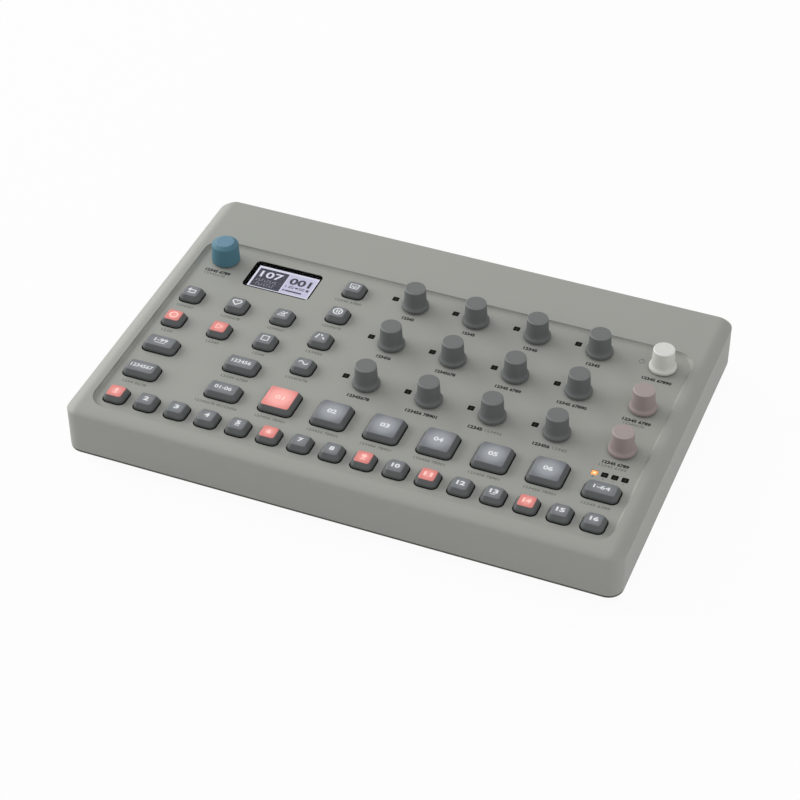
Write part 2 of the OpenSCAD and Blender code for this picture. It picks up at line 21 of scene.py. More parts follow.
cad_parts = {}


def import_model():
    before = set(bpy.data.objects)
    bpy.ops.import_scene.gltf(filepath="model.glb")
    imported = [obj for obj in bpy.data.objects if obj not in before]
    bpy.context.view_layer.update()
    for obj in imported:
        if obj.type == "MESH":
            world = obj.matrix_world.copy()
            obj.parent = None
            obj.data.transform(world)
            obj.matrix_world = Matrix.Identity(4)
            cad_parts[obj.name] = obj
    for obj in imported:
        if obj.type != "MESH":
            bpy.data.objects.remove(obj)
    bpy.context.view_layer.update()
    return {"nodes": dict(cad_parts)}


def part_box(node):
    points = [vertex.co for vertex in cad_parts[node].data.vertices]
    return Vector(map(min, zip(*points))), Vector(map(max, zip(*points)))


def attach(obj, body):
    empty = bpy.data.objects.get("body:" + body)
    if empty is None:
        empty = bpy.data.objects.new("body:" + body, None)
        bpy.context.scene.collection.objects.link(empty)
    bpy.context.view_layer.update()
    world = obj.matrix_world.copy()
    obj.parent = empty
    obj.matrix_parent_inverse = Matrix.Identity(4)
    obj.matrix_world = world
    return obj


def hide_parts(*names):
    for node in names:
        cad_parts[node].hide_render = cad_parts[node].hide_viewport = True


MM = 0.001
SHARP_ANGLE = 32.0  # edges that fold more than this, in degrees, stay sharp
SAME_LEVEL = 2e-6  # heights closer than this, in metres, count as one
INK_FLATNESS = 0.04  # thickness of a printed line, as a share of its width
PANEL_Z = 29.0  # face of the control panel
HOLE_REACH = (25.0, 32.0)  # heights between which a tool passes through the panel
SOCKET_Z = 17.1  # axis of the round sockets and the power button
GRID_KNOBS = tuple(
    f"{name}_knob"
    for name in "pitch decay colour shape sweep contour delay reverb speed level swing chance".split()
)
SHARE, FIRST, SECOND, MIXED = 0, 6, 7, 2  # sockets of a Mix node that goes from colour to colour
Point = tuple[float, float]
Place = tuple[float, float, float]
Ring = tuple[float, float]
Colour = tuple[float, float, float, float]
Inputs = dict[str | int, object]
Piece = bpy.types.Object
Material = bpy.types.Material
Tree = bpy.types.NodeTree
Socket = bpy.types.NodeSocket
log = logging.getLogger("drum_machine")


class Kind(Enum):
    """What a pick selects in edit mode."""

    FACES = "FACE"
    EDGES = "EDGE"
    CORNERS = "VERT"


class Slot(Enum):
    """Material slots of the part's record."""

    CASE = "case"
    BASE = "base"
    KEY_GREY = "key_grey"
    KEY_LIT = "key_lit"
    KNOB_GREY = "knob_grey"
    KNOB_WHITE = "knob_white"
    KNOB_MAUVE = "knob_mauve"
    KNOB_BLUE = "knob_blue"
    DISPLAY = "display"
    RUBBER = "rubber"
    DARK = "dark"


# ---- Modelling tools ----


def take(piece: Piece) -> None:
    """Makes a piece the only selected one, and the active one.

    Args:
        piece: The piece.
    """
    bpy.ops.object.select_all(action="DESELECT")
    piece.select_set(True)
    bpy.context.view_layer.objects.active = piece


@contextmanager
def editing(piece: Piece) -> Iterator[None]:
    """Opens a piece in edit mode with nothing selected, and closes it again.

    Args:
        piece: The piece.

    Yields:
        Nothing. The piece stays open until the block under it ends.
    """
    take(piece)
    bpy.ops.object.mode_set(mode="EDIT")
    bpy.ops.mesh.select_all(action="DESELECT")
    yield
    bpy.ops.object.mode_set(mode="OBJECT")


def pick(piece: Piece, kind: Kind, test: Callable[..., bool]) -> None:
    """Selects, in edit mode, only the faces, edges or corners that pass a test.

    Args:
        piece: The piece that is open in edit mode.
        kind: What to select.
        test: Takes one face, edge or vertex and says whether it is selected.
    """
    bpy.ops.mesh.select_mode(type=kind.value)
    bpy.ops.mesh.select_all(action="DESELECT")
    mesh = bmesh.from_edit_mesh(piece.data)
    parts = {Kind.FACES: mesh.faces, Kind.EDGES: mesh.edges, Kind.CORNERS: mesh.verts}[kind]
    for part in parts:
        if test(part):
            part.select_set(True)
    bmesh.update_edit_mesh(piece.data)


def pick_top(piece: Piece) -> None:
    """Selects, in edit mode, only the faces that look straight up."""
    pick(piece, Kind.FACES, lambda face: face.normal.z > 0.99)


def settle(piece: Piece) -> Piece:
    """Moves a new piece's place, turn and scale into its mesh.

    Args:
        piece: The piece.

    Returns:
        The same piece.
    """
    take(piece)
    bpy.ops.object.transform_apply(location=True, rotation=True, scale=True)
    return piece


def block(name: str, low: Place, high: Place, radius: float = 0.0, segments: int = 1) -> Piece:
    """Adds a block, with its four upright edges rounded.

    Args:
        name: Name of the piece.
        low: Lowest corner.
        high: Highest corner.
        radius: Radius of the upright edges, or 0 for square ones.
        segments: Facets of each round edge.

    Returns:
        The new block.
    """
    middle = [(a + b) / 2 * MM for a, b in zip(low, high)]
    size = [(b - a) * MM for a, b in zip(low, high)]
    bpy.ops.mesh.primitive_cube_add(size=1, location=middle, scale=size)
    piece = settle(bpy.context.object)
    piece.name = name
    if radius:
        with editing(piece):
            pick(piece, Kind.EDGES, lambda e: abs((e.verts[0].co - e.verts[1].co).normalized().z) > 0.9)
            bpy.ops.mesh.bevel(offset=radius * MM, segments=segments, affect="EDGES")
    return piece


def grow(rings: Iterable[Ring]) -> None:
    """Extrudes the picked end face, in edit mode, through a row of rings about the Z axis.

    Args:
        rings: Each ring's size, as a share of the ring before, and its rise.
    """
    for share, rise in rings:
        bpy.ops.mesh.extrude_region_move(TRANSFORM_OT_translate={"value": (0, 0, rise * MM)})
        bpy.ops.transform.resize(value=(share, share, 1), center_override=(0, 0, 0))


def step_in(rings: Sequence[Ring]) -> None:
    """Insets the picked end face, in edit mode, from ring to ring.

    Args:
        rings: How far inside the face's own edge each ring lies, and how far out of the face.
    """
    for last, ring in zip(rings, rings[1:]):
        bpy.ops.mesh.inset(thickness=(ring[0] - last[0]) * MM, depth=(ring[1] - last[1]) * MM)


def turned(name: str, profile: Sequence[Ring], sides: int) -> Piece:
    """Turns a solid about the Z axis: a cylinder whose top face grows ring by ring.

    Args:
        name: Name of the piece.
        profile: Radius and height of each ring. The second stands above the first.
        sides: Facets round the axis.

    Returns:
        The new solid, on the Z axis.
    """
    (radius, low), (upper, high) = profile[:2]
    middle = (low + high) / 2 * MM
    bpy.ops.mesh.primitive_cylinder_add(
        vertices=sides, radius=radius * MM, depth=(high - low) * MM, location=(0, 0, middle)
    )
    piece = settle(bpy.context.object)
    piece.name = name
    with editing(piece):
        pick(piece, Kind.CORNERS, lambda corner: corner.co.z > middle)
        share = upper / radius
        bpy.ops.transform.resize(value=(share, share, 1), center_override=(0, 0, 0))
        pick_top(piece)
        grow((ring[0] / last[0], ring[1] - last[1]) for last, ring in zip(profile[1:], profile[2:]))
    return piece


def place_mesh(piece: Piece, x: float = 0.0, y: float = 0.0, z: float = 0.0) -> Piece:
    """Moves a piece's mesh, and leaves its object at the origin."""
    piece.data.transform(Matrix.Translation((x * MM, y * MM, z * MM)))
    return piece


def face_back(piece: Piece) -> Piece:
    """Turns a mesh that points up so that it points to the back."""
    piece.data.transform(Matrix.Rotation(math.radians(-90), 4, "X"))
    return piece


def copy_piece(piece: Piece, name: str, x: float = 0.0, y: float = 0.0) -> Piece:
    """Copies a piece, with a mesh of its own, to another place.

    Args:
        piece: The pattern.
        name: Name of the copy.
        x: How far the copy moves to the right.
        y: How far it moves to the back.

    Returns:
        The copy.
    """
    twin = piece.copy()
    twin.data = piece.data.copy()
    twin.name = name
    bpy.context.collection.objects.link(twin)
    return place_mesh(twin, x, y)


def join(pieces: Sequence[Piece], name: str) -> Piece:
    """Joins pieces into the first one, which gets the name.

    Args:
        pieces: The pieces.
        name: The new name.

    Returns:
        The first piece.
    """
    take(pieces[0])
    for piece in pieces[1:]:
        piece.select_set(True)
    if len(pieces) > 1:
        bpy.ops.object.join()
    pieces[0].name = name
    return pieces[0]


def discard(piece: Piece) -> None:
    """Removes a piece that was only a tool or a pattern."""
    bpy.data.objects.remove(piece)


def finish_with(piece: Piece, kind: str, **settings: object) -> Piece:
    """Adds a modifier to a piece and applies it.

    Args:
        piece: The piece to finish.
        kind: Blender's name of the modifier type.
        **settings: Settings of the modifier.

    Returns:
        The same piece.
    """
    take(piece)
    modifier = piece.modifiers.new(kind.title(), kind)
    for name, value in settings.items():
        setattr(modifier, name, value)
    bpy.ops.object.modifier_apply(modifier=modifier.name)
    return piece


def cut(piece: Piece, tool: Piece) -> None:
    """Cuts a closed tool out of a piece, and removes the tool."""
    finish_with(piece, "BOOLEAN", operation="DIFFERENCE", solver="EXACT", object=tool)
    discard(tool)


def smooth(piece: Piece, angle: float = SHARP_ANGLE) -> Piece:
    """Shades a piece smooth over its gentle edges, with flat faces kept flat.

    Args:
        piece: The piece.
        angle: Edges that fold more than this, in degrees, stay sharp.

    Returns:
        The same piece.
    """
    take(piece)
    bpy.ops.object.shade_smooth_by_angle(angle=math.radians(angle))
    return finish_with(piece, "WEIGHTED_NORMAL", keep_sharp=True, weight=60)


def middle_of(node: str) -> Point:
    """Gives the middle of a solid in plan, in millimetres."""
    low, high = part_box(node)
    return (low.x + high.x) / 2 / MM, (low.y + high.y) / 2 / MM


def lettering(text: str, height: float, width: float, at: Place, weight: float) -> Piece:
    """Sets plain numbers as a thin mesh that lies flat.

    Args:
        text: What is set.
        height: Height of the marks.
        width: Width of the whole text.
        at: Middle of the text.
        weight: How much fatter the strokes are, as a share of the height.

    Returns:
        The text as a mesh.
    """
    bpy.ops.object.select_all(action="DESELECT")
    bpy.ops.object.text_add(location=(0, 0, 0))
    piece = bpy.context.object
    piece.data.body = text
    piece.data.resolution_u = 3
    piece.data.offset = weight
    bpy.ops.object.convert(target="MESH")
    piece = bpy.context.object
    corners = [v.co for v in piece.data.vertices]
    low = Vector((min(c.x for c in corners), min(c.y for c in corners), 0))
    high = Vector((max(c.x for c in corners), max(c.y for c in corners), 0))
    scale = (width * MM / (high.x - low.x), height * MM / (high.y - low.y), 1, 1)
    piece.data.transform(
        Matrix.Translation([c * MM for c in at])
        @ Matrix.Diagonal(scale)
        @ Matrix.Translation(-(low + high) / 2)
    )
    return piece


def stroke(points: Sequence[Point], width: float, at: Place, closed: bool = False) -> Piece:
    """Draws a flat round-ended line, for a symbol.

    Args:
        points: Corners of the line.
        width: Width of the line.
        at: Where the line's own origin goes.
        closed: Whether the line returns to its start.

    Returns:
        The line as a mesh.
    """
    curve = bpy.data.curves.new("stroke", "CURVE")
    curve.dimensions = "3D"
    curve.bevel_depth = width / 2 * MM
    curve.bevel_resolution = 2
    curve.use_fill_caps = True
    line = curve.splines.new("POLY")
    line.points.add(len(points) - 1)
    line.use_cyclic_u = closed
    for knot, (x, y) in zip(line.points, points):
        knot.co = (x * MM, y * MM, 0, 1)
    piece = bpy.data.objects.new("stroke", curve)
    bpy.context.collection.objects.link(piece)
    take(piece)
    bpy.ops.object.convert(target="MESH")
    piece = bpy.context.object
    piece.data.transform(Matrix.Translation([c * MM for c in at]) @ Matrix.Diagonal((1, 1, INK_FLATNESS, 1)))
    return piece


def ring_points(radius: float, count: int = 20) -> list[Point]:
    """Gives points round a circle.

    Args:
        radius: Radius of the circle.
        count: How many points.

    Returns:
        The points, from the right and round to the left.
    """
    return [
        (radius * math.cos(math.tau * i / count), radius * math.sin(math.tau * i / count))
        for i in range(count)
    ]


def lay_uv(piece: Piece, width: float, depth: float) -> None:
    """Lays a flat map over a piece that is centred on the origin, 0 to 1 over a size.

    Args:
        piece: The piece, still at the origin.
        width: Width that the map covers.
        depth: Depth that the map covers.
    """
    layer = piece.data.uv_layers.new(name="face")
    for loop in piece.data.loops:
        spot = piece.data.vertices[loop.vertex_index].co
        layer.data[loop.index].uv = (spot.x / (width * MM) + 0.5, spot.y / (depth * MM) + 0.5)


# ---- Finishes ----


def linear(colour: str, share: float = 1.0) -> Colour:
    """Turns an sRGB hex colour into the linear values that a shader takes.

    Args:
        colour: The colour, as #rrggbb.
        share: How bright the result is, as a share of the colour.

    Returns:
        Red, green, blue and 1.
    """
    levels = [int(colour[i : i + 2], 16) / 255 for i in (1, 3, 5)]
    red, green, blue = (s / 12.92 if s <= 0.04045 else ((s + 0.055) / 1.055) ** 2.4 for s in levels)
    return red * share, green * share, blue * share, 1.0


def add_node(tree: Tree, kind: str, inputs: Inputs | None = None, **settings: object) -> bpy.types.Node:
    """Adds a shader node with its settings and its inputs.

    Args:
        tree: The node tree of a material or of the world.
        kind: Blender's name of the node type, after ShaderNode.
        inputs: A constant, or another node's output to link, for each input.
        **settings: Settings of the node.

    Returns:
        The new node.
    """
    node = tree.nodes.new("ShaderNode" + kind)
    for name, value in settings.items():
        setattr(node, name, value)
    for name, value in (inputs or {}).items():
        if isinstance(value, Socket):
            tree.links.new(value, node.inputs[name])
        else:
            node.inputs[name].default_value = value
    return node


def empty_tree(owner: Material | bpy.types.World) -> Tree:
    """Gives the node tree of a new material or world, with nothing in it.

    Args:
        owner: The material or world.

    Returns:
        Its node tree.
    """
    owner.use_nodes = True
    owner.node_tree.nodes.clear()
    return owner.node_tree


def moulded_grain(tree: Tree, where: Socket, size_mm: float, depth_mm: float) -> tuple[Socket, Socket]:
    """Adds the fine grain that a textured mould leaves.

    Args:
        tree: The material's node tree.
        where: The coordinates that the grain follows.
        size_mm: Size of the grains.
        depth_mm: Height of the grains.

    Returns:
        The pattern of the grain, and the normals that it bends.
    """
    scale = 1 / (size_mm * MM)
    grain = add_node(tree, "TexNoise", {"Vector": where, "Scale": scale, "Detail": 3.0}).outputs["Fac"]
    bump = add_node(tree, "Bump", {"Height": grain, "Strength": 1.0, "Distance": depth_mm * MM})
    return grain, bump.outputs["Normal"]


@dataclass(frozen=True)
class Finish:
    """What every finish shares: a name, and a material built round the inputs of its shader."""

    name: str

    def inputs(self, tree: Tree) -> Inputs:
        """Adds the nodes of the finish's pattern, and gives the shader's inputs."""
        raise NotImplementedError(self.name)

    def build(self) -> Material:
        """Builds the material.

        Returns:
            The material.
        """
        material = bpy.data.materials.new(self.name)
        tree = empty_tree(material)
        shader = add_node(tree, "BsdfPrincipled", self.inputs(tree))
        add_node(tree, "OutputMaterial", {"Surface": shader.outputs["BSDF"]})
        return material


@dataclass(frozen=True)
class Plastic(Finish):
    """A moulded or painted plastic: a slightly cloudy colour over a fine even grain."""

    colour: str
    roughness: float = 0.6
    roughness_spread: float = 0.05
    specular: float = 0.4
    ior: float = 1.5
    cloud: float = 0.03
    cloud_mm: float = 22.0
    grain_mm: float = 0.7
    grain_depth_mm: float = 0.012
    glow: float = 0.0

    def inputs(self, tree: Tree) -> Inputs:
        """Adds the clouds and the grain.

        Args:
            tree: The material's node tree.

        Returns:
            The shader's inputs.
        """
        where = add_node(tree, "TexCoord").outputs["Object"]
        cloud = {"Vector": where, "Scale": 1 / (self.cloud_mm * MM), "Detail": 2.0}
        shades = {
            SHARE: add_node(tree, "TexNoise", cloud).outputs["Fac"],
            FIRST: linear(self.colour, 1 - self.cloud),
            SECOND: linear(self.colour, 1 + self.cloud),
        }
        colour = add_node(tree, "Mix", shades, data_type="RGBA").outputs[MIXED]
        grain, normal = moulded_grain(tree, where, self.grain_mm, self.grain_depth_mm)
        low, high = self.roughness - self.roughness_spread, self.roughness + self.roughness_spread
        rough = add_node(tree, "MapRange", {"Value": grain, "To Min": low, "To Max": high})
        inputs = {
            "Base Color": colour,
            "Roughness": rough.outputs["Result"],
            "IOR": self.ior,
            "Specular IOR Level": self.specular,
            "Normal": normal,
        }
        return inputs | ({"Emission Color": colour, "Emission Strength": self.glow} if self.glow else {})


@dataclass(frozen=True)
class FrostedTop(Finish):
    """A translucent moulded key top, lighter in its middle than at its edge. On an unlit top the lighter
    middle is painted light; on a lit top it follows the lamp under the key.
    """

    edge: str
    middle: str
    roughness: float = 0.5
    specular: float = 0.4
    glow: float = 0.0
    start: float = 0.14
    reach: float = 0.52
    grain_mm: float = 0.5
    grain_depth_mm: float = 0.008

    def inputs(self, tree: Tree) -> Inputs:
        """Adds the fade from the lighter middle, which is painted light on an unlit top, over the map that
        lay_uv lays on a key, and the grain.

        Args:
            tree: The material's node tree.

        Returns:
            The shader's inputs.
        """
        where = add_node(tree, "TexCoord").outputs["Object"]
        _, normal = moulded_grain(tree, where, self.grain_mm, self.grain_depth_mm)
        face = add_node(tree, "UVMap", uv_map="face").outputs["UV"]
        offset = add_node(tree, "VectorMath", {0: face, 1: (0.5, 0.5, 0.0)}, operation="SUBTRACT")
        away = add_node(tree, "VectorMath", {0: offset.outputs["Vector"]}, operation="LENGTH")
        span = {"Value": away.outputs["Value"], "From Min": self.start, "From Max": self.reach}
        fade = add_node(tree, "MapRange", span, interpolation_type="SMOOTHSTEP").outputs["Result"]
        shades = {SHARE: fade, FIRST: linear(self.middle), SECOND: linear(self.edge)}
        colour = add_node(tree, "Mix", shades, data_type="RGBA").outputs[MIXED]
        inputs = {
            "Base Color": colour,
            "Roughness": self.roughness,
            "Specular IOR Level": self.specular,
            "Normal": normal,
        }
        return inputs | ({"Emission Color": colour, "Emission Strength": self.glow} if self.glow else {})


@dataclass(frozen=True)
class Metal(Finish):
    """A plated metal: fine brushed scratches that spread its reflections."""

    colour: str
    roughness: float = 0.35
    roughness_spread: float = 0.1
    scratch_mm: float = 0.25

    def inputs(self, tree: Tree) -> Inputs:
        """Adds the scratches.

        Args:
            tree: The material's node tree.

        Returns:
            The shader's inputs.
        """
        where = add_node(tree, "TexCoord").outputs["Object"]
        scale = 1 / (self.scratch_mm * MM)
        scratch = add_node(tree, "TexNoise", {"Vector": where, "Scale": scale, "Detail": 4.0})
        low, high = self.roughness - self.roughness_spread, self.roughness + self.roughness_spread
        rough = add_node(tree, "MapRange", {"Value": scratch.outputs["Fac"], "To Min": low, "To Max": high})
        return {"Base Color": linear(self.colour), "Metallic": 1.0, "Roughness": rough.outputs["Result"]}


@dataclass(frozen=True)
class ClearAcrylic(Finish):
    """Clear acrylic with a coated face, which mirrors only a small share of the light."""

    roughness: float = 0.02
    mirror: float = 0.006

    def inputs(self, tree: Tree) -> Inputs:
        """Gives the shader's inputs, for a mirror that is nearly all clear."""
        white = linear("#ffffff")
        return {"Base Color": white, "Metallic": 1.0, "Roughness": self.roughness, "Alpha": self.mirror}


@dataclass(frozen=True)
class BoardFinish(Finish):
    """A glass-fibre board with its parts: green mask at the boards' heights, black elsewhere."""

    mask: str = "#2f5d46"
    parts: str = "#222321"
    roughness: float = 0.45
    # lowest and highest point of each board
    levels: tuple[Ring, Ring] = ((9.4, 11.15), (16.0, 17.75))
    trace_mm: float = 1.6

    def inputs(self, tree: Tree) -> Inputs:
        """Adds the traces, and tells a board from its parts by height.

        Args:
            tree: The material's node tree.

        Returns:
            The shader's inputs.
        """
        where = add_node(tree, "TexCoord").outputs["Object"]
        height = add_node(tree, "SeparateXYZ", {"Vector": where}).outputs["Z"]
        on_board: Socket | float = 0.0
        for low, high in self.levels:
            band = {0: height, 1: (low + high) / 2 * MM, 2: (high - low) / 2 * MM}
            near = add_node(tree, "Math", band, operation="COMPARE").outputs["Value"]
            on_board = add_node(tree, "Math", {0: on_board, 1: near}, operation="MAXIMUM").outputs["Value"]
        cells = {"Vector": where, "Scale": 1 / (self.trace_mm * MM)}
        trace = add_node(tree, "TexVoronoi", cells, distance="MANHATTAN").outputs["Distance"]
        greens = {SHARE: trace, FIRST: linear(self.mask, 0.7), SECOND: linear(self.mask, 1.2)}
        mask = add_node(tree, "Mix", greens, data_type="RGBA").outputs[MIXED]
        colours = {SHARE: on_board, FIRST: linear(self.parts), SECOND: mask}
        colour = add_node(tree, "Mix", colours, data_type="RGBA").outputs[MIXED]
        return {"Base Color": colour, "Roughness": self.roughness}


@dataclass(frozen=True)
class ScreenCells(Finish):
    """A lit screen seen through its own fine grid of cells."""

    colour: str
    glow: float = 1.0
    cell_mm: float = 0.28
    gap: float = 0.12

    def inputs(self, tree: Tree) -> Inputs:
        """Adds the grid: even light, a little dimmer on the lines between cells.

        Args:
            tree: The material's node tree.

        Returns:
            The shader's inputs.
        """
        cells = {
            "Vector": add_node(tree, "TexCoord").outputs["Object"],
            "Color1": linear(self.colour),
            "Color2": linear(self.colour, 0.97),
            "Mortar": linear(self.colour, 0.8),
            "Scale": 1 / (self.cell_mm * MM),
            "Mortar Size": self.gap / 2,
            "Mortar Smooth": 0.4,
            "Brick Width": 1.0,
            "Row Height": 1.0,
        }
        grid = add_node(tree, "TexBrick", cells, offset=0.0, squash=1.0)
        return {
            "Base Color": linear("#000000"),
            "Roughness": 0.6,
            "Specular IOR Level": 0.0,
            "Emission Color": grid.outputs["Color"],
            "Emission Strength": self.glow,
        }


@dataclass(frozen=True)
class Wardrobe:
    """Every finish of the machine, each built once."""

    # Soft-touch paint on moulded ABS: an even warm grey with a broad dull sheen
    case: Plastic = Plastic("painted_abs_case", "#9c9d97", roughness=0.55, cloud=0.02, cloud_mm=40)
    # Black painted shade on the same moulding: inside the case, a little way into the holes, on the lower
    # edge and on the keys' feet
    bare_case: Plastic = Plastic("painted_shade_black_abs", "#242523", roughness=0.6, specular=0.2)
    # Moulded ABS straight from a textured tool
    base: Plastic = Plastic("moulded_abs_base", "#55564f", roughness=0.6)
    # Tinted silicone-coated polycarbonate, dark on the sides
    key_side: Plastic = Plastic("moulded_key_side", "#565859", roughness=0.5, grain_mm=0.5)
    # the tops are lighter in their middle: painted light on the unlit tops, and the lamp's light on the lit
    # ones
    key_top: FrostedTop = FrostedTop("frosted_key_top", "#707376", "#808386")
    pad_top: FrostedTop = FrostedTop("frosted_pad_top", "#707378", "#9fa3a9", start=0.16, reach=0.62)
    lit_key_top: FrostedTop = FrostedTop("lit_key_top", "#cc7872", "#df938e", glow=0.2)
    lit_pad_top: FrostedTop = FrostedTop("lit_pad_top", "#d47e78", "#eea6a0", glow=0.2, start=0.2, reach=0.66)
    # Screen-printed ink, matt and slightly raised. The pale ink on unlit keys has a faint painted glow; the
    # glow of the pink ink stands for the lamp under a lit key
    key_ink: Plastic = Plastic("pale_printed_ink", "#dfe1e4", roughness=0.7, glow=0.05)
    lit_ink: Plastic = Plastic("pale_pink_lit_ink", "#f4bfb5", roughness=0.7, glow=0.28)
    black_ink: Plastic = Plastic("black_printed_ink", "#161715", roughness=0.8)
    grey_ink: Plastic = Plastic("grey_printed_ink", "#74766f", roughness=0.8)
    # Rubber-coated knobs: no gloss. The lighter copy of each colour on the top is painted light, and the
    # still lighter ring round the top's edge is a painted highlight that stands for a faint edge sheen
    knob_grey: Plastic = Plastic("soft_touch_grey", "#646767", roughness=0.68, grain_mm=0.45)
    knob_grey_top: Plastic = Plastic("soft_touch_grey_top", "#6d6f6f", roughness=0.68, grain_mm=0.45)
    knob_grey_edge: Plastic = Plastic("worn_grey_edge", "#828484", roughness=0.6, grain_mm=0.45)
    knob_white: Plastic = Plastic("soft_touch_white", "#d0d0ca", roughness=0.6, grain_mm=0.45)
    knob_white_top: Plastic = Plastic("soft_touch_white_top", "#d9d9d5", roughness=0.6, grain_mm=0.45)
    knob_white_edge: Plastic = Plastic("worn_white_edge", "#ecece8", roughness=0.5, grain_mm=0.45)
    knob_mauve: Plastic = Plastic("soft_touch_mauve", "#978a88", roughness=0.65, grain_mm=0.45)
    knob_mauve_top: Plastic = Plastic("soft_touch_mauve_top", "#a19592", roughness=0.65, grain_mm=0.45)
    knob_mauve_edge: Plastic = Plastic("worn_mauve_edge", "#b5a9a6", roughness=0.58, grain_mm=0.45)
    knob_blue: Plastic = Plastic("soft_touch_blue", "#4b7685", roughness=0.62, grain_mm=0.45)
    knob_blue_top: Plastic = Plastic("soft_touch_blue_top", "#64889e", roughness=0.62, grain_mm=0.45)
    # Smoked acrylic over small lamps
    window_dark: Plastic = Plastic(
        "smoked_acrylic", "#0c0c0a", roughness=0.3, specular=0.04, grain_depth_mm=0.002
    )
    window_core: Plastic = Plastic("dark_lamp_core", "#2b2a24", roughness=0.5, specular=0.04)
    window_lit: Plastic = Plastic("amber_lit_acrylic", "#f7c795", roughness=0.3, glow=0.75)
    window_lit_rim: Plastic = Plastic("amber_acrylic_rim", "#e79550", roughness=0.3, glow=0.55)
    # Display glass, its black surround and the lit liquid crystal under it
    acrylic: ClearAcrylic = ClearAcrylic("clear_acrylic_lens")
    surround: Plastic = Plastic("black_gasket", "#080808", roughness=0.7, specular=0.0)
    screen_frame: ScreenCells = ScreenCells("backlit_screen_frame", "#dcdced")
    screen_pale: ScreenCells = ScreenCells("backlit_screen", "#c7c6de")
    screen_dark: ScreenCells = ScreenCells("dark_screen_cells", "#4c4d57")
    screen_mid: ScreenCells = ScreenCells("half_dark_screen_cells", "#8d8d9b")
    # Glass-filled nylon and plated contacts of the sockets
    nylon: Plastic = Plastic("black_nylon", "#1f201e", roughness=0.5)
    contact: Metal = Metal("nickel_plated_contact", "#b9b7b0", roughness=0.3)
    screw: Metal = Metal("black_oxide_screw_steel", "#56554f", roughness=0.45)
    rubber: Plastic = Plastic("moulded_rubber", "#262625", roughness=0.85, specular=0.2, grain_mm=0.9)
    board: BoardFinish = BoardFinish("glass_fibre_board")

    built: dict[str, Material] = field(default_factory=dict)

    def get(self, name: str) -> Material:
        """Gives the material of one finish, and builds it the first time.

        Args:
            name: Name of the finish here.

        Returns:
            The material.
        """
        if name not in self.built:
            self.built[name] = getattr(self, name).build()
        return self.built[name]

    def dress(self, piece: Piece, *names: str) -> Piece:
        """Puts finishes on a piece's material slots, in order, in place of any it has.

        Args:
            piece: The piece.
            *names: Names of the finishes here.

        Returns:
            The same piece.
        """
        slots = piece.data.materials
        for i, name in enumerate(names):
            if i < len(slots):
                slots[i] = self.get(name)
            else:
                slots.append(self.get(name))
        return piece


def hand_over(piece: Piece, body: str, slot: Slot, *nodes: str) -> None:
    """Ties a finished piece to its body, hides the solids that it stands for, and reports it.

    Args:
        piece: The finished piece.
        body: The body that it moves with.
        slot: The record's material slot. Not used.
        *nodes: Solids that the piece stands for.
    """
    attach(piece, body)
    if nodes:
        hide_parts(*nodes)
    log.info("%s: %d faces on %s", piece.name, len(piece.data.polygons), body)


# ---- The machine's sub-assemblies ----


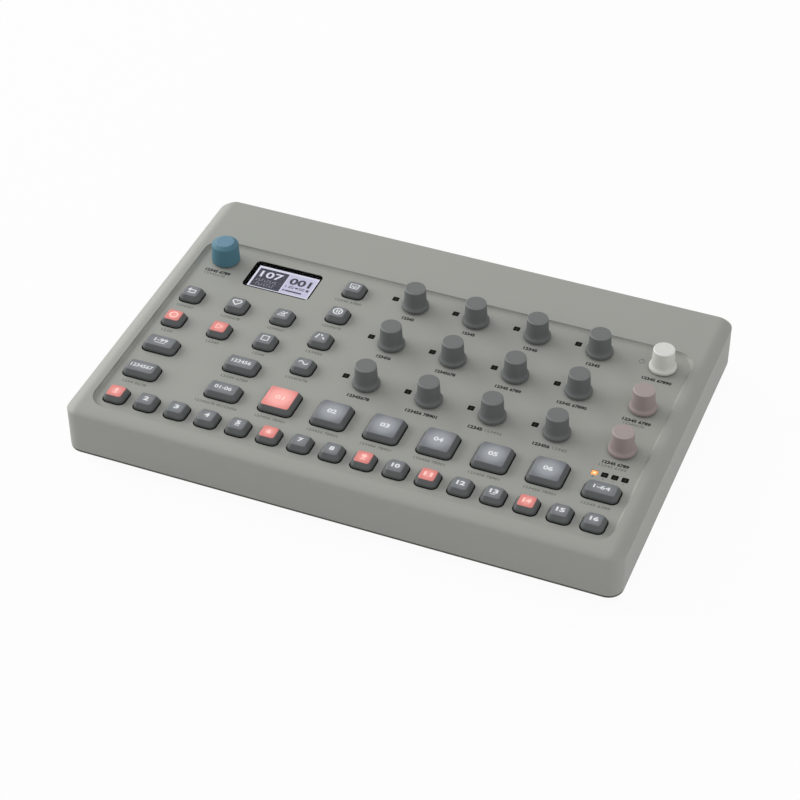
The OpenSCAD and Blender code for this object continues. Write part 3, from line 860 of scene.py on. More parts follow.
@dataclass
class UpperCase:
    """The painted upper case with its recessed control panel, its holes and its posts."""

    wardrobe: Wardrobe
    width: float = 270.0
    depth: float = 180.0
    part_z: float = 7.0
    rim_z: float = 30.6
    panel_z: float = PANEL_Z
    panel_low: float = 26.7
    shelf_low: float = 28.0
    shelf_inset: float = 7.5
    corner: float = 7.5
    # inset and rise of each ring of the rounded top edge, which leaves the side walls at a crease
    edge: tuple[Ring, ...] = (
        (0.0, 0.0), (1.0, 0.6), (2.0, 1.154), (3.0, 1.65), (3.7, 1.95), (4.4, 2.19), (5.1, 2.36),
        (5.8, 2.475), (6.5, 2.535), (7.2, 2.55),
    )
    # how far each ring reaches in at the front, and which share of its inset at the back
    front_insets: tuple[float, ...] = (0.0, 0.1, 0.4, 1.0, 1.7, 2.5, 3.5, 4.8, 6.3, 8.0)
    back_share: float = 0.54
    wall: float = 2.5
    chamfer: float = 0.5
    panel_half: float = 126.42
    panel_front: float = -81.8
    panel_back: float = 54.87
    panel_corner: float = 9.4
    # the panel's wall: a small lip, then a cove, which slopes more gently on the right
    lip: float = 0.08
    lip_rings: tuple[Ring, ...] = ((0.0, 0.0), (0.03, 0.015), (0.065, 0.05))
    cove_facets: int = 8
    right_slope: float = 0.82
    right_fillet: float = 1.6
    bay: Point = (-75.0, 121.0)
    bay_depth: float = 1.6
    bay_half: float = 8.0
    axis_z: float = SOCKET_Z
    # a screw post: radius and lower end, where it widens at the front and at the back, and to what radius
    post_tip: Ring = (2.9, 8.2)
    post_steps: Point = (17.7, 11.1)
    post_root: float = 4.0

    def outer_form(self) -> Piece:
        """Makes the closed outer form, with its rounded top edge.

        Returns:
            The form.
        """
        x, y = self.width / 2, self.depth / 2
        wall_top = self.rim_z - self.edge[-1][1]
        form = block("case_shell", (-x, -y, self.part_z), (x, y, wall_top), self.corner, 16)
        with editing(form):
            pick_top(form)
            step_in(self.edge)
            # the front edge is rounder than the sides, and the back edge reaches in less far
            for (inset, rise), front in zip(self.edge[1:], self.front_insets[1:]):
                level = (wall_top + rise) * MM
                for side, shift in ((1, (1 - self.back_share) * inset), (-1, front - inset)):
                    pick(form, Kind.CORNERS, lambda v: v.co.y * side > 0 and abs(v.co.z - level) < SAME_LEVEL)
                    bpy.ops.transform.translate(value=(0, shift * MM, 0))
            level = self.part_z * MM
            pick(form, Kind.EDGES, lambda e: all(abs(v.co.z - level) < SAME_LEVEL for v in e.verts))
            bpy.ops.mesh.bevel(offset=self.chamfer * MM, segments=2, affect="EDGES")
        return form

    def panel_tool(self) -> Piece:
        """Makes the tool that sinks the panel: a crisp lip, then a wall that rounds into it.

        Returns:
            The tool.
        """
        half, lip = self.panel_half + self.lip, self.lip
        low, high = (-half, self.panel_front - lip, self.rim_z), (half, self.panel_back + lip, self.rim_z + 3)
        tool = block("panel_tool", low, high, self.panel_corner + lip, 14)
        cove = self.rim_z - lip - self.panel_z
        turns = [math.radians(90 / self.cove_facets * i) for i in range(self.cove_facets + 1)]
        # inset and depth of each ring
        rings = [*self.lip_rings]
        rings += [(lip + cove * (1 - math.cos(turn)), lip + cove * math.sin(turn)) for turn in turns]
        with editing(tool):
            pick(tool, Kind.FACES, lambda f: f.normal.z < -0.9)
            step_in(rings)
            # the right wall slopes more evenly, so its upper half catches the light
            for inset, deep in rings[len(self.lip_rings) + 1 : -1]:
                level = (self.rim_z - deep) * MM
                fillet = inset + (self.rim_z - self.panel_z - deep) * self.right_fillet
                slope = min(self.right_slope * deep, fillet)
                pick(tool, Kind.CORNERS, lambda v: v.co.x > 0 and abs(v.co.z - level) < SAME_LEVEL)
                bpy.ops.transform.translate(value=(min(0.0, inset - slope) * MM, 0, 0))
        return tool

    def bay_tool(self) -> Piece:
        """Makes the tool for the shallow bay in the rear wall, where the sockets are.

        Returns:
            The tool.
        """
        left, right = self.bay
        low = (left, -self.bay_half, self.depth / 2 - self.bay_depth)
        high = (right, self.bay_half, self.depth / 2 + 2)
        return place_mesh(face_back(block("bay_tool", low, high, 3, 5)), 0, 0, self.axis_z)

    def posts(self, places: Sequence[Point]) -> list[Piece]:
        """Makes the posts that the case screws go into.

        Args:
            places: Places of the posts.

        Returns:
            The posts.
        """
        pillars = []
        tip, low = self.post_tip
        for x, y in places:
            rear = y > self.panel_back
            step = self.post_steps[rear]
            high = (self.shelf_low if rear else self.panel_low) + 0.4
            profile = [(tip, low), (tip, step), (self.post_root, step + 0.05), (self.post_root, high)]
            pillars.append(place_mesh(turned("post", profile, 24), x, y))
        return pillars

    def build(self, cutouts: Sequence[Piece], rear_holes: Sequence[Piece], screws: Sequence[Point]) -> None:
        """Makes the case and hands it over.

        Args:
            cutouts: Tools for the holes in the panel.
            rear_holes: Tools for the holes in the rear wall.
            screws: Places of the screws.
        """
        form = self.outer_form()
        x, y, wall = self.width / 2, self.depth / 2, self.wall
        rear_inner = y - self.bay_depth - wall
        low, high = (wall - x, wall - y, self.part_z - 1), (x - wall, rear_inner, self.panel_low)
        cut(form, block("cavity", low, high, self.corner - wall, 5))
        low = (self.shelf_inset - x, self.panel_back + wall, self.panel_low - 1)
        high = (x - self.shelf_inset, rear_inner - wall, self.shelf_low)
        cut(form, block("shelf_cavity", low, high, 2, 3))
        cut(form, self.panel_tool())
        cut(form, join(cutouts, "panel_holes"))
        cut(form, self.bay_tool())
        cut(form, join(rear_holes, "rear_holes"))
        smooth(form, 28)
        form = join([form, *self.posts(screws)], "case_shell")
        self.wardrobe.dress(form, "case", "bare_case")
        # black painted shade inside the case, a little way into the holes, and at the chamfer of the lower
        # edge
        for face in form.data.polygons:
            spot = face.center / MM
            across, along = x - abs(spot.x), y - abs(spot.y)
            within = min(across, along) > self.bay_depth + 0.4 and max(across, along) > self.corner
            hole_wall = within and spot.z < self.panel_z - 0.06
            face.material_index = int(hole_wall or spot.z < self.part_z + self.chamfer - 0.05)
        hand_over(form, "case", Slot.CASE, "top_case")


@dataclass
class KeyShape:
    """One shape of key: its size at the panel, and the profile of its sides."""

    width: float
    depth: float
    corner: float = 2.75
    slope: float = 1.55
    low: float = 26.5
    panel_z: float = PANEL_Z
    rise: float = 3.5
    skirt: float = 1.0
    # height above the panel up to which the key's foot is black painted shade, which widens the dark gap
    # round the key
    foot: float = 0.3
    ledge: float = 0.9
    ledge_thick: float = 1.1
    gap: float = 0.55
    stem_r: float = 1.5
    stem_low: float = 19.7

    def blank(self, wardrobe: Wardrobe) -> Piece:
        """Makes one key over the origin: a foot in black painted shade, sides, soft top edge, ledge and stem.

        Args:
            wardrobe: The finishes.

        Returns:
            The key.
        """
        x, y = self.width / 2, self.depth / 2
        foot_z = self.panel_z + self.foot
        cap = block("key", (-x, -y, self.low), (x, y, foot_z), self.corner, 7)
        # inset of each ring on every side, and its height above the panel
        rings = [(0.0, self.skirt), (0.05, 1.22), (0.16, 1.45), (0.33, 1.7)]
        steps = [(-0.3, 3.0), (-0.16, 3.2), (0.02, 3.36), (0.24, 3.46), (0.5, self.rise)]
        rings += [(self.slope + inset, height) for inset, height in steps]
        with editing(cap):
            pick_top(cap)
            grow([(1, self.skirt - self.foot)])
            step_in(rings)
        smooth(cap, 40)
        x, y = x + self.ledge, y + self.ledge
        ledge = block("ledge", (-x, -y, self.low - self.ledge_thick), (x, y, self.low + 0.15), self.corner, 5)
        tip = (self.stem_r - 0.3, self.stem_low)
        stem = turned("stem", [tip, (self.stem_r, self.stem_low + 0.3), (self.stem_r, self.low)], 24)
        blank = join([cap, ledge, stem], "key_blank")
        lay_uv(blank, self.width - 2 * self.slope, self.depth - 2 * self.slope)
        wardrobe.dress(blank, "key_side", "key_top", "bare_case")
        top_z = self.panel_z + self.rise - 0.12
        # faces below the foot's top take the black painted shade, and faces at the top take the top finish
        for face in blank.data.polygons:
            below = face.center.z < foot_z * MM
            face.material_index = 1 if face.center.z > top_z * MM else 2 * below
        return blank

    def hole(self, x: float, y: float) -> Piece:
        """Makes the tool for this key's hole in the panel.

        Args:
            x: Middle of the key, in X.
            y: Middle of the key, in Y.

        Returns:
            The tool.
        """
        w, d = self.width / 2 + self.gap, self.depth / 2 + self.gap
        low, high = HOLE_REACH
        return block("key_hole", (x - w, y - d, low), (x + w, y + d, high), self.corner + self.gap, 8)


@dataclass
class KeySet:
    """All the keys and pads, with their printed symbols and numbers."""

    wardrobe: Wardrobe
    small: KeyShape = field(default_factory=lambda: KeyShape(10.5, 10.5))
    wide: KeyShape = field(default_factory=lambda: KeyShape(16.7, 10.5))
    pad: KeyShape = field(default_factory=lambda: KeyShape(16.7, 16.7))
    print_z: float = 32.52
    line: float = 0.72
    symbol_size: float = 1.32
    lit_steps: tuple[int, ...] = (1, 6, 9, 11, 14)
    # plain numbers on the wide keys, with their width and the length of the line under them
    ranges: dict[str, tuple[str, float, float]] = field(
        default_factory=lambda: {
            "function_key": ("1-99", 6.8, 5.2),
            "pattern_key": ("1234567", 11.2, 0.0),
            "repeat_key": ("123456", 9.8, 0.0),
            "track_key": ("01-06", 8.6, 0.0),
            "page_key": ("1-64", 7.8, 0.0),
        }
    )

    def shape_of(self, node: str) -> KeyShape:
        """Gives the shape of a key by its name."""
        shape = self.wide if node in self.ranges else self.small
        return self.pad if node.startswith("pad_") else shape

    def names(self) -> list[str]:
        """Lists every key.

        Returns:
            The names of the keys' nodes.
        """
        small = "return favourite metronome record play stop preset keyboard accent wave".split()
        steps = [f"step_key_{i:02d}" for i in range(1, 17)]
        return steps + [f"pad_{i}" for i in range(1, 7)] + [f"{name}_key" for name in small] + [*self.ranges]

    def is_lit(self, node: str) -> bool:
        """Says whether a key's lamp is on."""
        return node in {"record_key", "play_key", "pad_1"} | {f"step_key_{i:02d}" for i in self.lit_steps}

    def holes(self) -> list[Piece]:
        """Makes the tools for the holes of all the keys."""
        return [self.shape_of(node).hole(*middle_of(node)) for node in self.names()]

    def number(self, text: str, height: float, width: float, dash: float = 0.0) -> list[Piece]:
        """Sets a number over the origin.

        Args:
            text: The number.
            height: Its height.
            width: Its width.
            dash: Length of the line under it, if it has one.

        Returns:
            The printed marks.
        """
        weight = 0.025 if len(text) > 2 else 0.045
        marks = [lettering(text, height, width, (0, 0.45 if dash else 0.1, self.print_z), weight)]
        if dash:
            marks += [stroke([(-dash / 2, -1.5), (dash / 2, -1.5)], 0.4, (0, 0, self.print_z))]
        return marks

    def symbol_lines(self, node: str) -> list[tuple[list[Point], bool]]:
        """Gives the lines of the symbol on a small key.

        Args:
            node: Name of the key.

        Returns:
            Each line's points, and whether it is closed.
        """
        heart = []
        for turn in (math.tau * i / 28 for i in range(28)):
            high = 13 * math.cos(turn) - 5 * math.cos(2 * turn) - 2 * math.cos(3 * turn) - math.cos(4 * turn)
            heart.append((16 * math.sin(turn) ** 3 / 13 * 1.35, high / 13 * 1.35))
        return {
            "return_key": [
                ([(-1.2, 0.55), (1.4, 0.55), (1.4, -1.1), (-1.3, -1.1)], False),
                ([(-0.6, 1.35), (-1.5, 0.55), (-0.6, -0.25)], False),
            ],
            "favourite_key": [(heart, True)],
            "metronome_key": [
                ([(-1.6, -1.25), (0, 1.3), (1.2, -1.25)], True),
                ([(-0.4, -0.6), (1.6, 1.1)], False),
            ],
            "record_key": [(ring_points(1.45), True)],
            "play_key": [([(-1.1, 1.35), (1.4, 0), (-1.1, -1.35)], True)],
            "stop_key": [([(-1.25, -1.25), (1.25, -1.25), (1.25, 1.25), (-1.25, 1.25)], True)],
            "preset_key": [
                ([(-1.7, 1.2), (1.7, 1.2), (1.4, -1.2), (-1.4, -1.2)], True),
                ([(-0.9, 0.1), (0, -0.5), (0.9, 0.1)], False),
            ],
            "keyboard_key": [
                (ring_points(1.65), True),
                ([(-0.35, 0.95), (-0.35, -0.95)], False),
                ([(0.55, 0.95), (0.55, -0.95)], False),
            ],
            "accent_key": [
                ([(-1.7, -1.2), (-0.9, 1.3)], False),
                ([(-0.2, 1.3), (0.5, 0.5)], False),
                ([(0.8, -0.1), (1.6, -1.2)], False),
            ],
            "wave_key": [([(-1.8 + 0.3 * i, 0.75 * math.sin(math.tau * i / 12)) for i in range(13)], False)],
        }[node]

    def symbol(self, node: str) -> list[Piece]:
        """Draws what is printed on a key.

        Args:
            node: Name of the key.

        Returns:
            The printed marks over the origin.
        """
        if node.startswith("step_key_"):
            index = int(node[-2:])
            width = (1.15 if index == 1 else 2.35) if index < 10 else 4.0
            return self.number(str(index), 2.7, width, 2.3 if index % 4 == 1 else 0.0)
        if node.startswith("pad_"):
            return self.number("0" + node[-1], 2.9, 4.6)
        if node in self.ranges:
            text, width, dash = self.ranges[node]
            return self.number(text, 2.4, width, dash)
        at, size = (0.0, 0.15, self.print_z), self.symbol_size
        return [
            stroke([(x * size, y * size) for x, y in points], self.line, at, closed)
            for points, closed in self.symbol_lines(node)
        ]

    def build(self) -> None:
        """Makes every key from its blank, prints it and hands it over."""
        blanks = {id(shape): shape.blank(self.wardrobe) for shape in (self.small, self.wide, self.pad)}
        for node in self.names():
            shape, lit = self.shape_of(node), self.is_lit(node)
            key = copy_piece(blanks[id(shape)], node + "_cap")
            top = ("lit_" if lit else "") + ("pad_top" if shape is self.pad else "key_top")
            self.wardrobe.dress(key, "key_side", top)
            marks = join(self.symbol(node), node + "_mark")
            self.wardrobe.dress(marks, "lit_ink" if lit else "key_ink")
            key = place_mesh(join([key, marks], node + "_cap"), *middle_of(node))
            hand_over(key, node, Slot.KEY_LIT if lit else Slot.KEY_GREY, node)
        for blank in blanks.values():
            discard(blank)


@dataclass
class KnobSet:
    """The fifteen potentiometer knobs and the encoder's larger knob, each on its shaft."""

    wardrobe: Wardrobe
    panel_z: float = PANEL_Z
    shaft_r: float = 3.0
    shaft_low: float = 18.9
    encoder_shaft_low: float = 21.0
    hole_r: float = 3.4
    # radius and height above the panel, from the underside
    cap: tuple[Ring, ...] = (
        (5.9, 0.7), (6.3, 0.76), (6.55, 0.92), (6.65, 1.15), (6.65, 1.85), (6.61, 2.12), (6.46, 2.4),
        (6.2, 2.66), (5.95, 2.92), (5.77, 3.25), (5.63, 3.7), (5.53, 4.3), (5.47, 5.1), (5.13, 11.3),
        (5.09, 11.55), (4.98, 11.77), (4.82, 11.92), (4.6, 12.0),
    )
    encoder_cap: tuple[Ring, ...] = (
        (6.4, 0.82), (6.8, 0.9), (6.97, 1.15), (7.0, 1.5), (6.66, 10.1), (6.6, 10.4), (6.48, 10.62),
        (6.3, 10.8), (4.62, 11.8), (4.4, 11.93), (4.15, 12.0),
    )
    # heights above the panel at which a knob's painted highlight round the top edge and its painted lit top
    # start
    cap_levels: Point = (11.6, 11.9)
    encoder_levels: Point = (11.84, 11.84)
    encoder_node: str = "encoder_knob"

    def plain(self) -> dict[str, tuple[Slot, str]]:
        """Lists each potentiometer knob with its slot and its finish.

        Returns:
            The slot and the finish of each knob's node.
        """
        knobs = {node: (Slot.KNOB_GREY, "knob_grey") for node in GRID_KNOBS}
        knobs["main_volume_knob"] = (Slot.KNOB_WHITE, "knob_white")
        knobs["reverb_size_knob"] = knobs["delay_time_knob"] = (Slot.KNOB_MAUVE, "knob_mauve")
        return knobs

    def holes(self) -> list[Piece]:
        """Makes the tools for the shaft holes in the panel.

        Returns:
            The tools.
        """
        pattern = turned("shaft_hole", [(self.hole_r, height) for height in HOLE_REACH], 32)
        nodes = [*self.plain(), self.encoder_node]
        tools = [copy_piece(pattern, "shaft_hole", *middle_of(node)) for node in nodes]
        discard(pattern)
        return tools

    def blank(self, profile: Sequence[Ring], levels: Point, shaft_low: float) -> Piece:
        """Makes one knob over the origin, with finishes for its side, its painted lit top and the painted
        highlight round its top edge.

        Args:
            profile: Radius and height above the panel of each ring.
            levels: Heights above the panel at which the painted highlight round the top edge and the painted
                lit top start.
            shaft_low: Lower end of the shaft.

        Returns:
            The knob with its shaft.
        """
        knob = turned("knob", [(r, z + self.panel_z) for r, z in profile], 96)
        smooth(knob, 50)
        # side finish, then a lighter top that is painted light, then a lighter ring round the top's edge that
        # is a painted highlight
        self.wardrobe.dress(knob, "knob_grey", "knob_grey_top", "knob_grey_edge")
        edge, top = ((self.panel_z + level) * MM for level in levels)
        # faces above the top level take the painted lit top, and those between the two levels take the
        # painted highlight
        for face in knob.data.polygons:
            face.material_index = 1 if face.center.z > top else 2 * (face.center.z > edge)
        tip = (self.shaft_r - 0.4, shaft_low)
        shaft = turned("shaft", [tip, (self.shaft_r, shaft_low + 0.4), (self.shaft_r, self.panel_z + 1)], 32)
        return join([knob, self.wardrobe.dress(shaft, "contact")], "knob_blank")

    def build(self) -> None:
        """Makes every knob from its blank and hands it over."""
        blank = self.blank(self.cap, self.cap_levels, self.shaft_low)
        for node, (slot, finish) in self.plain().items():
            knob = copy_piece(blank, node + "_cap", *middle_of(node))
            # the knob's colour, its painted lit top and its painted highlight
            self.wardrobe.dress(knob, finish, finish + "_top", finish + "_edge")
            hand_over(knob, node, slot, node)
        discard(blank)
        encoder = self.blank(self.encoder_cap, self.encoder_levels, self.encoder_shaft_low)
        encoder.name = "encoder_cap"
        place_mesh(encoder, *middle_of(self.encoder_node))
        # the encoder's lighter top is painted light as well
        self.wardrobe.dress(encoder, "knob_blue", "knob_blue_top")
        hand_over(encoder, self.encoder_node, Slot.KNOB_BLUE, self.encoder_node)


@dataclass
class LightWindows:
    """The small square windows beside the knobs, and the four over the page key."""

    wardrobe: Wardrobe
    side: float = 3.0
    low_z: float = 28.0
    wall_z: float = 28.81
    # share of the size and rise of each ring of the domed top
    dome: tuple[Ring, ...] = ((0.97, 0.1), (0.9, 0.04), (0.5, 0.01))
    press_fit: float = 0.03
    hole_gap: float = 0.1
    hole_reach: Ring = (25.5, 31.0)
    beside: Point = (-11.2, 2.6)
    page_pitch: float = 4.77
    page_behind: float = 11.95

    def page_places(self) -> list[Point]:
        """Lists the middles of the windows over the page key, from the left."""
        x, y = middle_of("page_key")
        return [(x + (i - 1.5) * self.page_pitch, y + self.page_behind) for i in range(4)]

    def places(self) -> list[Point]:
        """Lists the middles of all the windows, the lit one last."""
        spots = [(x + self.beside[0], y + self.beside[1]) for x, y in map(middle_of, GRID_KNOBS)]
        return spots + self.page_places()[::-1]

    def holes(self) -> list[Piece]:
        """Makes the tools for the windows' holes in the panel.

        Returns:
            The tools.
        """
        h = self.side / 2 + self.hole_gap
        low, high = self.hole_reach
        return [
            block("window_hole", (x - h, y - h, low), (x + h, y + h, high), 0.5, 3) for x, y in self.places()
        ]

    def build(self) -> None:
        """Makes the windows: a domed square each, dark but for the first page lamp."""
        h = self.side / 2 + self.press_fit
        pattern = block("window", (-h, -h, self.low_z), (h, h, self.wall_z), 0.45, 3)
        with editing(pattern):
            pick_top(pattern)
            grow(self.dome)
        smooth(pattern, 45)
        self.wardrobe.dress(pattern, "window_dark", "window_core")
        top_z = self.wall_z + sum(rise for _, rise in self.dome)
        for face in pattern.data.polygons:
            face.material_index = int(face.center.z > (top_z - 0.001) * MM)
        windows = [copy_piece(pattern, "window", x, y) for x, y in self.places()]
        discard(pattern)
        lamp = windows.pop()
        hand_over(join(windows, "light_windows"), "case", Slot.DARK)
        lamp.name = "lit_page_window"
        self.wardrobe.dress(lamp, "window_lit_rim", "window_lit")
        hand_over(lamp, "case", Slot.DARK)


@dataclass
class DisplayUnit:
    """The display: lens, black surround, lit screen with plain figures, and its carrier."""

    wardrobe: Wardrobe
    opening: Point = (35.6, 20.8)
    corner: float = 2.4
    gap: float = 0.35
    lens_reach: Point = (27.17, 28.65)
    screen_z: float = 27.1
    carrier_z: float = 26.25
    carrier_margin: float = 3.5
    slope: Ring = (0.6, 1.1)  # inset and height of the carrier's sloping shoulder
    board_z: float = 17.7
    # the lit area and its dark and pale fields: lower left, upper right, layer and finish, from the middle
    areas: tuple[tuple[Point, Point, int, str], ...] = (
        ((-16.2, -7.5), (16.0, 9.3), 1, "screen_frame"),
        ((-15.1, -6.95), (0.5, 7.7), 2, "screen_dark"),
        ((0.9, -6.8), (15.3, 8.1), 2, "screen_pale"),
    )
    # plain figures: height, width, middle, finish and weight
    figures: tuple[tuple[str, float, float, Point, str, float], ...] = (
        ("107", 5.0, 11.6, (-7.5, 3.5), "screen_frame", 0.02),
        ("001", 5.3, 11.2, (8.1, 3.2), "screen_dark", 0.035),
    )
    # two rows of small cells on the dark field: left end, number and height of the foot
    cells: tuple[tuple[float, int, float], ...] = ((-13.6, 8, -2.4), (-12.6, 7, -5.5))
    cell_step: float = 1.42
    cell_line: float = 0.36
    # bars on the pale field
    bars: tuple[tuple[Point, Point], ...] = (
        ((2.0, -2.1), (2.4, -0.8)), ((3.6, -2.2), (6.6, -1.7)), ((3.6, -1.1), (6.6, -0.6)),
        ((7.2, -1.9), (8.6, -0.8)), ((9.0, -2.2), (12.2, -1.7)), ((9.0, -1.1), (12.2, -0.6)),
        ((13.0, -2.3), (14.4, -0.7)), ((3.2, -5.1), (11.8, -4.1)), ((1.7, -5.1), (2.7, -4.1)),
    )

    def centre(self) -> Point:
        """Gives the middle of the display's opening."""
        return middle_of("display_module")

    def plate(self, name: str, margin: float, reach: Point, corner: float, facets: int = 8) -> Piece:
        """Makes a plate over the origin, a margin wider than the opening.

        Args:
            name: Name of the piece.
            margin: How far it reaches past the opening, on each side.
            reach: Height of its underside and of its top.
            corner: Radius of its corners.
            facets: Facets of each corner.

        Returns:
            The plate.
        """
        w, d = self.opening[0] / 2 + margin, self.opening[1] / 2 + margin
        return block(name, (-w, -d, reach[0]), (w, d, reach[1]), corner, facets)

    def hole(self) -> Piece:
        """Makes the tool for the opening in the panel."""
        return place_mesh(self.plate("display_hole", 0, HOLE_REACH, self.corner), *self.centre())

    def lens(self) -> Piece:
        """Makes the lens: clear above and below, with blackened sides.

        Returns:
            The lens, over the origin.
        """
        lens = self.plate("display_lens", -self.gap, self.lens_reach, self.corner - self.gap)
        smooth(lens, 30)
        self.wardrobe.dress(lens, "acrylic", "surround")
        for face in lens.data.polygons:
            face.material_index = int(abs(face.normal.z) <= 0.9)
        return lens

    def patch(self, low: Point, high: Point, layer: int, finish: str) -> Piece:
        """Adds one flat patch of the screen's picture.

        Args:
            low: Lower left corner from the middle of the opening.
            high: Upper right corner.
            layer: Which of the picture's thin layers it lies in.
            finish: Name of its finish.

        Returns:
            The patch.
        """
        z = self.screen_z + 0.01 * layer
        return self.wardrobe.dress(block("patch", (*low, z - 0.008), (*high, z)), finish)

    def picture(self) -> list[Piece]:
        """Lays out the picture: a dark field with pale figures, and a pale one with dark ones.

        Returns:
            The patches and the figures.
        """
        parts = [self.patch(*area) for area in self.areas]
        for text, height, width, at, finish, weight in self.figures:
            mark = lettering(text, height, width, (*at, self.screen_z + 0.03), weight)
            parts.append(self.wardrobe.dress(mark, finish))
        line = self.cell_line
        for row, (start, count, y) in enumerate(self.cells):
            for i in range(count):
                x = start + self.cell_step * i
                tall = 2.1 if (i + row) % 3 else 1.5
                foot = y if i % 2 else y + tall - line
                parts.append(self.patch((x, y), (x + line, y + tall), 3, "screen_mid"))
                parts.append(self.patch((x + line, foot), (x + 1.0, foot + line), 3, "screen_mid"))
        parts += [self.patch(low, high, 3, "screen_dark") for low, high in self.bars]
        return parts

    def carrier(self) -> Piece:
        """Makes the carrier: a block that slopes up to the black seat of the screen.

        Returns:
            The carrier, over the origin.
        """
        inset, rise = self.slope
        reach = (self.board_z, self.carrier_z - rise)
        low = self.plate("display_carrier", self.carrier_margin, reach, 1, 4)
        with editing(low):
            pick_top(low)
            step_in([(0, 0), (inset, rise), (inset + 0.3, rise)])
        smooth(low, 30)
        reach = (self.carrier_z - 0.1, self.screen_z - 0.02)
        seat = self.plate("seat", -self.gap, reach, self.corner - self.gap)
        return self.wardrobe.dress(join([low, seat], "display_carrier"), "surround")

    def build(self) -> None:
        """Makes the display's pieces and hands them over."""
        pieces = (self.carrier(), join(self.picture(), "display_screen"), self.lens())
        for piece, slot in zip(pieces, (Slot.DARK, Slot.DISPLAY, Slot.DISPLAY)):
            hand_over(place_mesh(piece, *self.centre()), "case", slot, "display_module")


@dataclass(frozen=True)
class SocketKind:
    """One kind of round socket: its places in X, its nose and bore, and the hole that it shows in."""

    name: str
    places: tuple[float, ...]
    outer_r: float
    bore_r: float
    bore_deep: float
    hole_r: float


